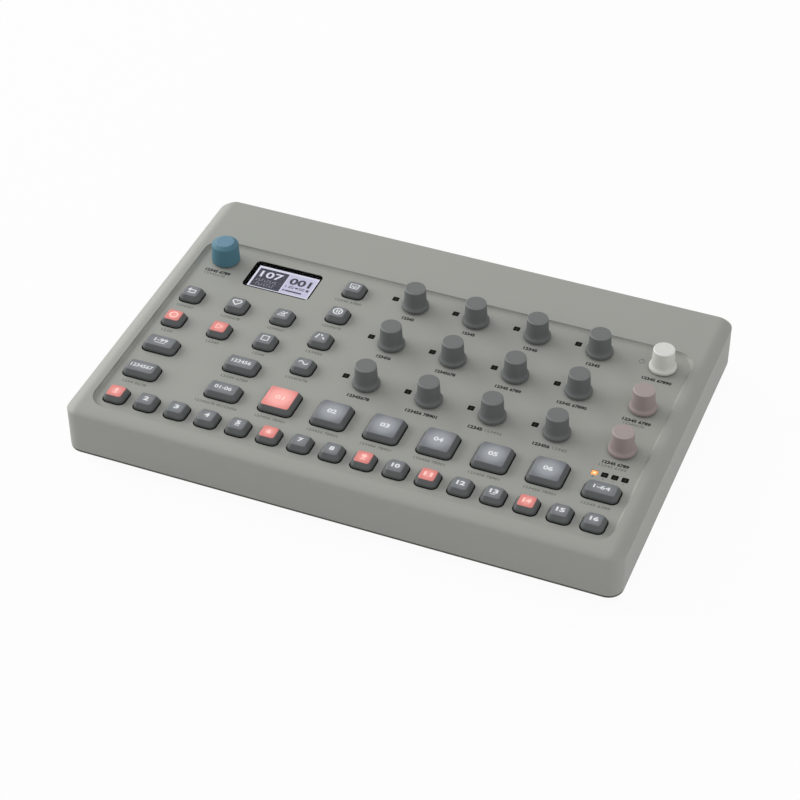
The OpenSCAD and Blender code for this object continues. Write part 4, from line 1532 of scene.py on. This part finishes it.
@dataclass
class RearRow:
    """The sockets along the back, and the power button beside them."""

    wardrobe: Wardrobe
    axis_z: float = SOCKET_Z
    mouth_y: float = 88.32
    wall_y: float = 85.9
    hole_reach: Point = (84.5, 92.0)
    audio: SocketKind = SocketKind("audio_socket", (-60.0, -36.0, -12.0), 5.25, 3.2, 20.0, 5.4)
    link: SocketKind = SocketKind("link_socket", (31.0, 47.0), 3.05, 1.8, 10.0, 3.2)
    supply: SocketKind = SocketKind("supply_inlet", (88.0,), 4.45, 2.8, 8.5, 4.6)
    data_at: Point = (68.0, 12.5)
    power_x: float = 109.0
    power_r: float = 3.6
    power_hole_r: float = 3.9
    # the collar in a bore: its lower and upper end, and how deep its own bore is bright and then dark
    collar_low: float = -7.6
    collar_top: float = -0.6
    collar_bright: float = 1.4
    collar_dark: float = 5.0
    supply_pin: tuple[Ring, ...] = ((0.95, -8.5), (0.95, -1.4), (0.8, -1.15), (0.5, -1.05))

    def holes(self) -> list[Piece]:
        """Makes the tools for every hole in the rear wall.

        Returns:
            The tools.
        """
        spots = [(x, kind.hole_r) for kind in (self.audio, self.link, self.supply) for x in kind.places]
        tools = []
        for x, radius in [*spots, (self.power_x, self.power_hole_r)]:
            tool = turned("rear_hole", [(radius, end) for end in self.hole_reach], 40)
            tools.append(place_mesh(face_back(tool), x, 0, self.axis_z))
        low, high = self.hole_reach
        slot = block("data_hole", (-4.0, -1.6, low), (4.0, 1.6, high), 1, 4)
        x, z = self.data_at
        return [*tools, place_mesh(face_back(slot), x, 0, z)]

    def nose(self, kind: SocketKind) -> Piece:
        """Makes a socket's nose over the origin: a ring with a soft rim round a deep bore.

        Args:
            kind: The kind of socket.

        Returns:
            The nose, pointing up, with its mouth at zero.
        """
        outer, inner = kind.outer_r, kind.bore_r
        profile = [(outer, -2.4), (outer, -0.35), (outer - 0.12, -0.12), (outer - 0.35, 0.0)]
        nose = turned(kind.name, profile, 56)
        with editing(nose):
            pick_top(nose)
            rim = inner + 0.35
            grow([(rim / (outer - 0.35), 0.0), (inner / rim, -0.35), (1, -kind.bore_deep)])
        return self.wardrobe.dress(smooth(nose, 35), "nylon")

    def contact_ring(self, radius: float) -> Piece:
        """Makes the bright collar that stands just inside a socket's mouth, over a dark bore.

        Args:
            radius: Outer radius of the collar.

        Returns:
            The collar, pointing up.
        """
        top = self.collar_top
        ring = turned("collar", [(radius, self.collar_low), (radius, top - 0.1), (radius - 0.1, top)], 48)
        with editing(ring):
            pick_top(ring)
            grow([((radius - 0.55) / (radius - 0.1), 0), (1, -self.collar_bright), (1, -self.collar_dark)])
        self.wardrobe.dress(ring, "contact", "nylon")
        for face in ring.data.polygons:
            face.material_index = int(face.center.z < (top - self.collar_bright - 0.05) * MM)
        return smooth(ring, 35)

    def sockets(self) -> None:
        """Makes the audio, link and supply sockets."""
        for kind in (self.audio, self.link, self.supply):
            for i, x in enumerate(kind.places, start=1):
                nose = self.nose(kind)
                if kind is self.supply:
                    fitting = self.wardrobe.dress(smooth(turned("pin", self.supply_pin, 24)), "contact")
                else:
                    fitting = self.contact_ring(kind.bore_r + 0.02)
                piece = join([nose, fitting], f"{kind.name}_{i}")
                place_mesh(face_back(piece), x, self.mouth_y, self.axis_z)
                hand_over(piece, "case", Slot.DARK)

    def data_socket(self) -> None:
        """Makes the data socket: a bright shell with a dark tongue in it."""
        shell = block("data_inlet", (-3.85, -1.45, -3.0), (3.85, 1.45, 0.0), 0.9, 4)
        with editing(shell):
            pick_top(shell)
            step_in([(0, 0), (0.5, 0)])
            grow([(1, -2.6)])
        self.wardrobe.dress(smooth(shell, 35), "contact")
        tongue = block("tongue", (-2.6, -0.45, -2.8), (2.6, 0.45, -0.6))
        finish_with(tongue, "BEVEL", width=0.15 * MM, segments=2)
        self.wardrobe.dress(tongue, "nylon")
        piece = join([shell, tongue], "data_inlet")
        x, z = self.data_at
        place_mesh(face_back(piece), x, self.mouth_y, z)
        hand_over(piece, "case", Slot.DARK)

    def power_button(self) -> None:
        """Makes the power button: a dished cap on a flange, and its plunger."""
        front, back = (corner.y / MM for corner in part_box("power_button"))
        wall, radius = self.wall_y, self.power_r
        profile = [
            (1.5, front), (1.5, wall - 1.42), (4.6, wall - 1.38), (4.6, wall - 0.2), (radius, wall - 0.18),
            (radius, back - 0.45), (radius - 0.12, back - 0.16), (radius - 0.45, back), (2.6, back - 0.02),
            (1.4, back - 0.18), (0.5, back - 0.22),
        ]
        button = smooth(turned("power_cap", profile, 48), 40)
        self.wardrobe.dress(button, "nylon")
        place_mesh(face_back(button), self.power_x, 0, self.axis_z)
        hand_over(button, "power_button", Slot.DARK, "power_button")

    def dress_board(self, board: Piece) -> None:
        """Dresses the boards, with the sockets' noses black and the supply pin bright.

        Args:
            board: The object of the boards' node.
        """
        self.wardrobe.dress(board, "board", "nylon", "contact")
        corners = board.data.vertices
        x = self.supply.places[0]
        for face in board.data.polygons:
            spots = [corners[i].co / MM for i in face.vertices]
            if max(spot.y for spot in spots) > self.wall_y - 1:
                pin = all(math.hypot(spot.x - x, spot.z - self.axis_z) < 1.0 for spot in spots)
                face.material_index = 2 if pin else 1

    def build(self) -> None:
        """Makes the whole row."""
        self.sockets()
        self.data_socket()
        self.power_button()


@dataclass
class Underside:
    """The rubber feet under the base, and the screws that hold the case together."""

    wardrobe: Wardrobe
    feet: tuple[Point, ...] = ((-111.0, -66.0), (111.0, -66.0), (-111.0, 66.0), (111.0, 66.0))
    screws: tuple[Point, ...] = (
        (-126.5, -81.8), (0.0, -81.8), (126.5, -81.8), (-55.85, -0.475), (97.39, -5.075),
        (-126.5, 79.9), (9.0, 79.9), (126.5, 79.9),
    )
    # radius and height of each ring
    foot: tuple[Ring, ...] = ((6.9, 0.0), (7.6, 0.3), (7.95, 0.8), (8.0, 1.3), (8.0, 4.5))
    screw: tuple[Ring, ...] = ((2.6, 4.6), (2.9, 4.85), (2.9, 6.25), (1.5, 6.3), (1.45, 14.9), (1.1, 15.3))
    drive: tuple[Ring, ...] = ((1.2, 4.0), (1.2, 5.6))

    def scatter(self, pattern: Piece, places: Sequence[Point], name: str) -> Piece:
        """Copies a pattern to its places, and joins the copies.

        Args:
            pattern: The piece that is copied. It goes away.
            places: Where the copies go.
            name: Name of the joined piece.

        Returns:
            The joined piece.
        """
        piece = join([copy_piece(pattern, name, x, y) for x, y in places], name)
        discard(pattern)
        return piece

    def build(self) -> None:
        """Makes the feet and the screws."""
        feet = self.scatter(smooth(turned("foot", self.foot, 56), 35), self.feet, "rubber_feet")
        self.wardrobe.dress(feet, "rubber")
        hand_over(feet, "case", Slot.RUBBER, "feet_and_screws")
        screw = smooth(turned("screw", self.screw, 40), 35)
        cut(screw, turned("drive", self.drive, 6))
        screws = self.scatter(screw, self.screws, "case_screws")
        self.wardrobe.dress(screws, "screw")
        hand_over(screws, "case", Slot.BASE, "feet_and_screws")


@dataclass
class PrintedMarks:
    """The small printing on the panel: rows of plain numbers under the knobs and keys."""

    wardrobe: Wardrobe
    keys: KeySet
    windows: LightWindows
    panel_z: float = PANEL_Z
    lift: float = 0.012
    black_height: float = 2.25
    black_weight: float = 0.05
    grey_height: float = 1.75
    grey_weight: float = 0.028
    thin_weight: float = 0.02
    below_knob: float = 9.6
    line_step: float = 2.6
    aside: float = 0.6
    below_small: float = 2.9
    below_wide: float = 3.2
    pace: float = 1.3
    pad_row: float = 15.0
    # the page numbers' height, width and distance under their windows
    page_number: Place = (1.1, 0.7, 2.7)
    # the turning mark beside the white knob: its place, the radius of its ring and the width of its lines
    dial_mark: Point = (-10.6, 1.5)
    dial_ring: float = 1.35
    dial_line: float = 0.32
    # width of the row under each key
    key_rows: dict[str, float] = field(
        default_factory=lambda: {
            "return_key": 8.9, "favourite_key": 10.0, "metronome_key": 9.0, "record_key": 5.6,
            "play_key": 6.6, "stop_key": 6.2, "preset_key": 13.6, "keyboard_key": 9.8, "accent_key": 8.4,
            "wave_key": 11.0, "pattern_key": 12.2, "repeat_key": 13.6, "track_key": 21.0,
            "page_key": 13.4,
        }
    )
    # width of the black row under each knob, and of a grey one under it, or beside it if less than 0
    dial_rows: dict[str, Point] = field(
        default_factory=lambda: {
            "encoder_knob": (13.4, 11.0), "pitch_knob": (6.2, 0), "decay_knob": (6.2, 0),
            "colour_knob": (7.0, 0), "shape_knob": (6.8, 0), "sweep_knob": (7.3, 0),
            "contour_knob": (10.0, 0), "delay_knob": (12.8, 0), "reverb_knob": (14.4, 0),
            "speed_knob": (11.0, 0), "level_knob": (15.6, 0), "swing_knob": (7.0, -8.2),
            "chance_knob": (8.2, -7.0), "main_volume_knob": (14.4, 0), "reverb_size_knob": (13.6, 10.0),
            "delay_time_knob": (12.6, 13.0),
        }
    )
    # rows of plain numbers, of which each place takes the one that fits best
    texts: tuple[str, ...] = (
        "1234", "12345", "123456", "1234567", "12345678", "1234 5678", "12345 6789", "12345 67890",
        "123456 78901", "123456 7 89012", "1234567 8901234", "12345678 90123456",
    )

    def scale(self, width: float, height: float, at: Point, weight: float) -> Piece:
        """Sets a row of plain numbers that fills a width.

        Args:
            width: Width of the row.
            height: Height of the numbers.
            at: Middle of the row, in plan.
            weight: How much fatter the strokes are.

        Returns:
            The row.
        """
        text = min(self.texts, key=lambda row: abs(len(row) * self.pace - width))
        return lettering(text, height, width, (*at, self.panel_z + self.lift), weight)

    def under_keys(self) -> list[Piece]:
        """Sets the grey rows under the keys and the pads.

        Returns:
            The rows.
        """
        rows = []
        for node in self.keys.names():
            width = self.pad_row if node.startswith("pad_") else self.key_rows.get(node, 0.0)
            if width:
                x, y = middle_of(node)
                shape = self.keys.shape_of(node)
                below = self.below_small if shape is self.keys.small else self.below_wide
                at = (x, y - shape.depth / 2 - below)
                rows.append(self.scale(width, self.grey_height, at, self.grey_weight))
        return rows

    def by_knobs(self) -> tuple[list[Piece], list[Piece]]:
        """Sets the rows by the knobs.

        Returns:
            The black rows, and the grey ones.
        """
        black, grey = [], []
        for node, (width, second) in self.dial_rows.items():
            x, y = middle_of(node)
            row = y - self.below_knob
            start = x + second / 2 - self.aside if second < 0 else x
            black.append(self.scale(width, self.black_height, (start, row), self.black_weight))
            at = (x + width / 2 + self.aside, row) if second < 0 else (x - self.aside, row - self.line_step)
            if second:
                grey.append(self.scale(abs(second), self.grey_height, at, self.thin_weight))
        return black, grey

    def small_marks(self) -> list[Piece]:
        """Sets the page numbers under their windows, and the turning mark by the white knob.

        Returns:
            The marks.
        """
        z = self.panel_z + self.lift
        height, width, below = self.page_number
        marks = [
            lettering(str(i), height, width, (x, y - below, z), self.thin_weight)
            for i, (x, y) in enumerate(self.windows.page_places(), start=1)
        ]
        x, y = middle_of("main_volume_knob")
        x, y = x + self.dial_mark[0], y + self.dial_mark[1]
        marks.append(stroke(ring_points(self.dial_ring), self.dial_line, (x, y, z), True))
        marks.append(stroke([(0.0, 0.2), (0.0, 2.1)], self.dial_line, (x, y, z + self.lift)))
        return marks

    def build(self) -> None:
        """Lays out the marks and hands them over."""
        grey = self.under_keys()
        black, by_knobs = self.by_knobs()
        dark = join(black, "dial_numbers")
        self.wardrobe.dress(dark, "black_ink")
        hand_over(dark, "case", Slot.DARK)
        pale = join([*grey, *by_knobs, *self.small_marks()], "key_numbers")
        self.wardrobe.dress(pale, "grey_ink")
        hand_over(pale, "case", Slot.CASE)


# ---- Studio ----


@dataclass(frozen=True)
class Softbox:
    """A soft rectangular lamp, with its length, width and place in metres."""

    name: str
    watts: float
    size: Point
    place: Place
    along: Place
    across: Place

    def hang(self) -> None:
        """Hangs the lamp. It shines against the turn from its length to its width."""
        light = bpy.data.lights.new(self.name, "AREA")
        light.shape = "RECTANGLE"
        light.size, light.size_y = self.size
        light.energy = self.watts
        lamp = bpy.data.objects.new(self.name, light)
        bpy.context.collection.objects.link(lamp)
        first = Vector(self.along).normalized()
        third = first.cross(Vector(self.across)).normalized()
        turn = Matrix((first, third.cross(first), third)).transposed().to_quaternion()
        lamp.matrix_world = Matrix.LocRotScale(Vector(self.place), turn, None)


@dataclass
class Studio:
    """A white table, plain soft light from the upper left, and the camera."""

    floor_size: float = 14.0
    floor_grey: float = 0.74
    floor_glow: float = 0.95
    sky: float = 0.53
    lamps: tuple[Softbox, ...] = (
        Softbox(
            "left_softbox", 48.0, (2.7, 1.05), (-2.1, 0.375, 1.0), (-0.18, -1.0, 0.0), (0.413, -0.074, 0.907)
        ),
        Softbox("right_fill", 2.2, (1.2, 0.25), (1.68, 0.0, 0.28), (0.0, 1.0, 0.0), (-0.15, 0.0, 0.989)),
        Softbox("front_fill", 3.5, (1.1, 0.8), (0.85, -0.8, 1.2), (0.69, 0.73, 0.0), (-0.52, 0.49, 0.7)),
    )
    target: Place = (6.867, -18.846, 24.9)
    azimuth: float = 21.723
    elevation: float = 40.621
    distance: float = 1076.69
    focal_px: float = 2313.37
    frame_px: float = 800.0
    centre_px: Point = (405.0, 398.76)
    sensor: float = 36.0
    view_reach: Point = (0.05, 30.0)  # in metres

    def seen(self, tree: Tree) -> Socket | float:
        """Adds nodes that tell rays that see the white surroundings from rays that they light.

        Args:
            tree: The node tree.

        Returns:
            An output that is 1 for a ray that sees them, and 0 for another.
        """
        ray = add_node(tree, "LightPath")
        share: Socket | float = 0.0
        for kind in ("Is Camera Ray", "Is Glossy Ray", "Is Transmission Ray"):
            share = add_node(tree, "Math", {0: share, 1: ray.outputs[kind]}, operation="MAXIMUM").outputs[0]
        return share

    def floor(self) -> None:
        """Lays the floor, which looks white and keeps a faint shadow."""
        bpy.ops.mesh.primitive_grid_add(x_subdivisions=4, y_subdivisions=4, size=self.floor_size)
        floor = bpy.context.object
        floor.name = "floor"
        material = bpy.data.materials.new("white_table")
        tree = empty_tree(material)
        share = add_node(tree, "Math", {0: self.seen(tree), 1: self.floor_glow}, operation="MULTIPLY")
        grey = self.floor_grey
        matt = add_node(tree, "BsdfDiffuse", {"Color": (grey, grey, grey, 1.0)})
        white = add_node(tree, "Emission", {"Color": linear("#ffffff"), "Strength": 1.0})
        mix = {0: share.outputs[0], 1: matt.outputs["BSDF"], 2: white.outputs["Emission"]}
        mixed = add_node(tree, "MixShader", mix)
        add_node(tree, "OutputMaterial", {"Surface": mixed.outputs["Shader"]})
        floor.data.materials.append(material)

    def world(self) -> None:
        """Sets a plain sky that looks white and lights softly."""
        world = bpy.data.worlds.new("plain_sky")
        tree = empty_tree(world)
        levels = {"Value": self.seen(tree), "To Min": self.sky, "To Max": 1.0}
        strength = add_node(tree, "MapRange", levels).outputs["Result"]
        sky = add_node(tree, "Background", {"Color": linear("#ffffff"), "Strength": strength})
        add_node(tree, "OutputWorld", {"Surface": sky.outputs["Background"]})
        bpy.context.scene.world = world

    def camera(self) -> None:
        """Sets the camera, at the viewing angle and distance of a catalogue view."""
        turn, lift = math.radians(self.azimuth), math.radians(self.elevation)
        back = Vector((math.sin(turn) * math.cos(lift), -math.cos(turn) * math.cos(lift), math.sin(lift)))
        data = bpy.data.cameras.new("camera")
        data.sensor_width = self.sensor
        data.lens = self.focal_px / self.frame_px * self.sensor
        data.shift_x = -(self.centre_px[0] - self.frame_px / 2) / self.frame_px
        data.shift_y = (self.centre_px[1] - self.frame_px / 2) / self.frame_px
        data.clip_start, data.clip_end = self.view_reach
        camera = bpy.data.objects.new("camera", data)
        bpy.context.collection.objects.link(camera)
        camera.location = (Vector(self.target) + back * self.distance) * MM
        camera.rotation_euler = (-back).to_track_quat("-Z", "Y").to_euler()
        bpy.context.scene.camera = camera

    def build(self) -> None:
        """Sets up the stage, the light and the camera."""
        self.floor()
        self.world()
        for lamp in self.lamps:
            lamp.hang()
        self.camera()
        bpy.context.scene.view_settings.view_transform = "Standard"


def main() -> None:
    """Builds the machine's dress and its stage."""
    logging.basicConfig(level=logging.INFO, format="%(name)s: %(message)s")
    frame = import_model()
    bpy.ops.object.select_all(action="DESELECT")
    wardrobe = Wardrobe()
    keys, knobs, windows = KeySet(wardrobe), KnobSet(wardrobe), LightWindows(wardrobe)
    display, rear, underside = DisplayUnit(wardrobe), RearRow(wardrobe), Underside(wardrobe)
    cutouts = keys.holes() + knobs.holes() + windows.holes() + [display.hole()]
    UpperCase(wardrobe).build(cutouts, rear.holes(), underside.screws)
    for assembly in (keys, knobs, windows, display, rear, underside, PrintedMarks(wardrobe, keys, windows)):
        assembly.build()
    for node, finish in (("bottom_case", "base"), ("encoder_plunger", "nylon")):
        wardrobe.dress(frame["nodes"][node], finish)
    rear.dress_board(frame["nodes"]["circuit_board"])
    Studio().build()


if __name__ == "__main__":
    main()
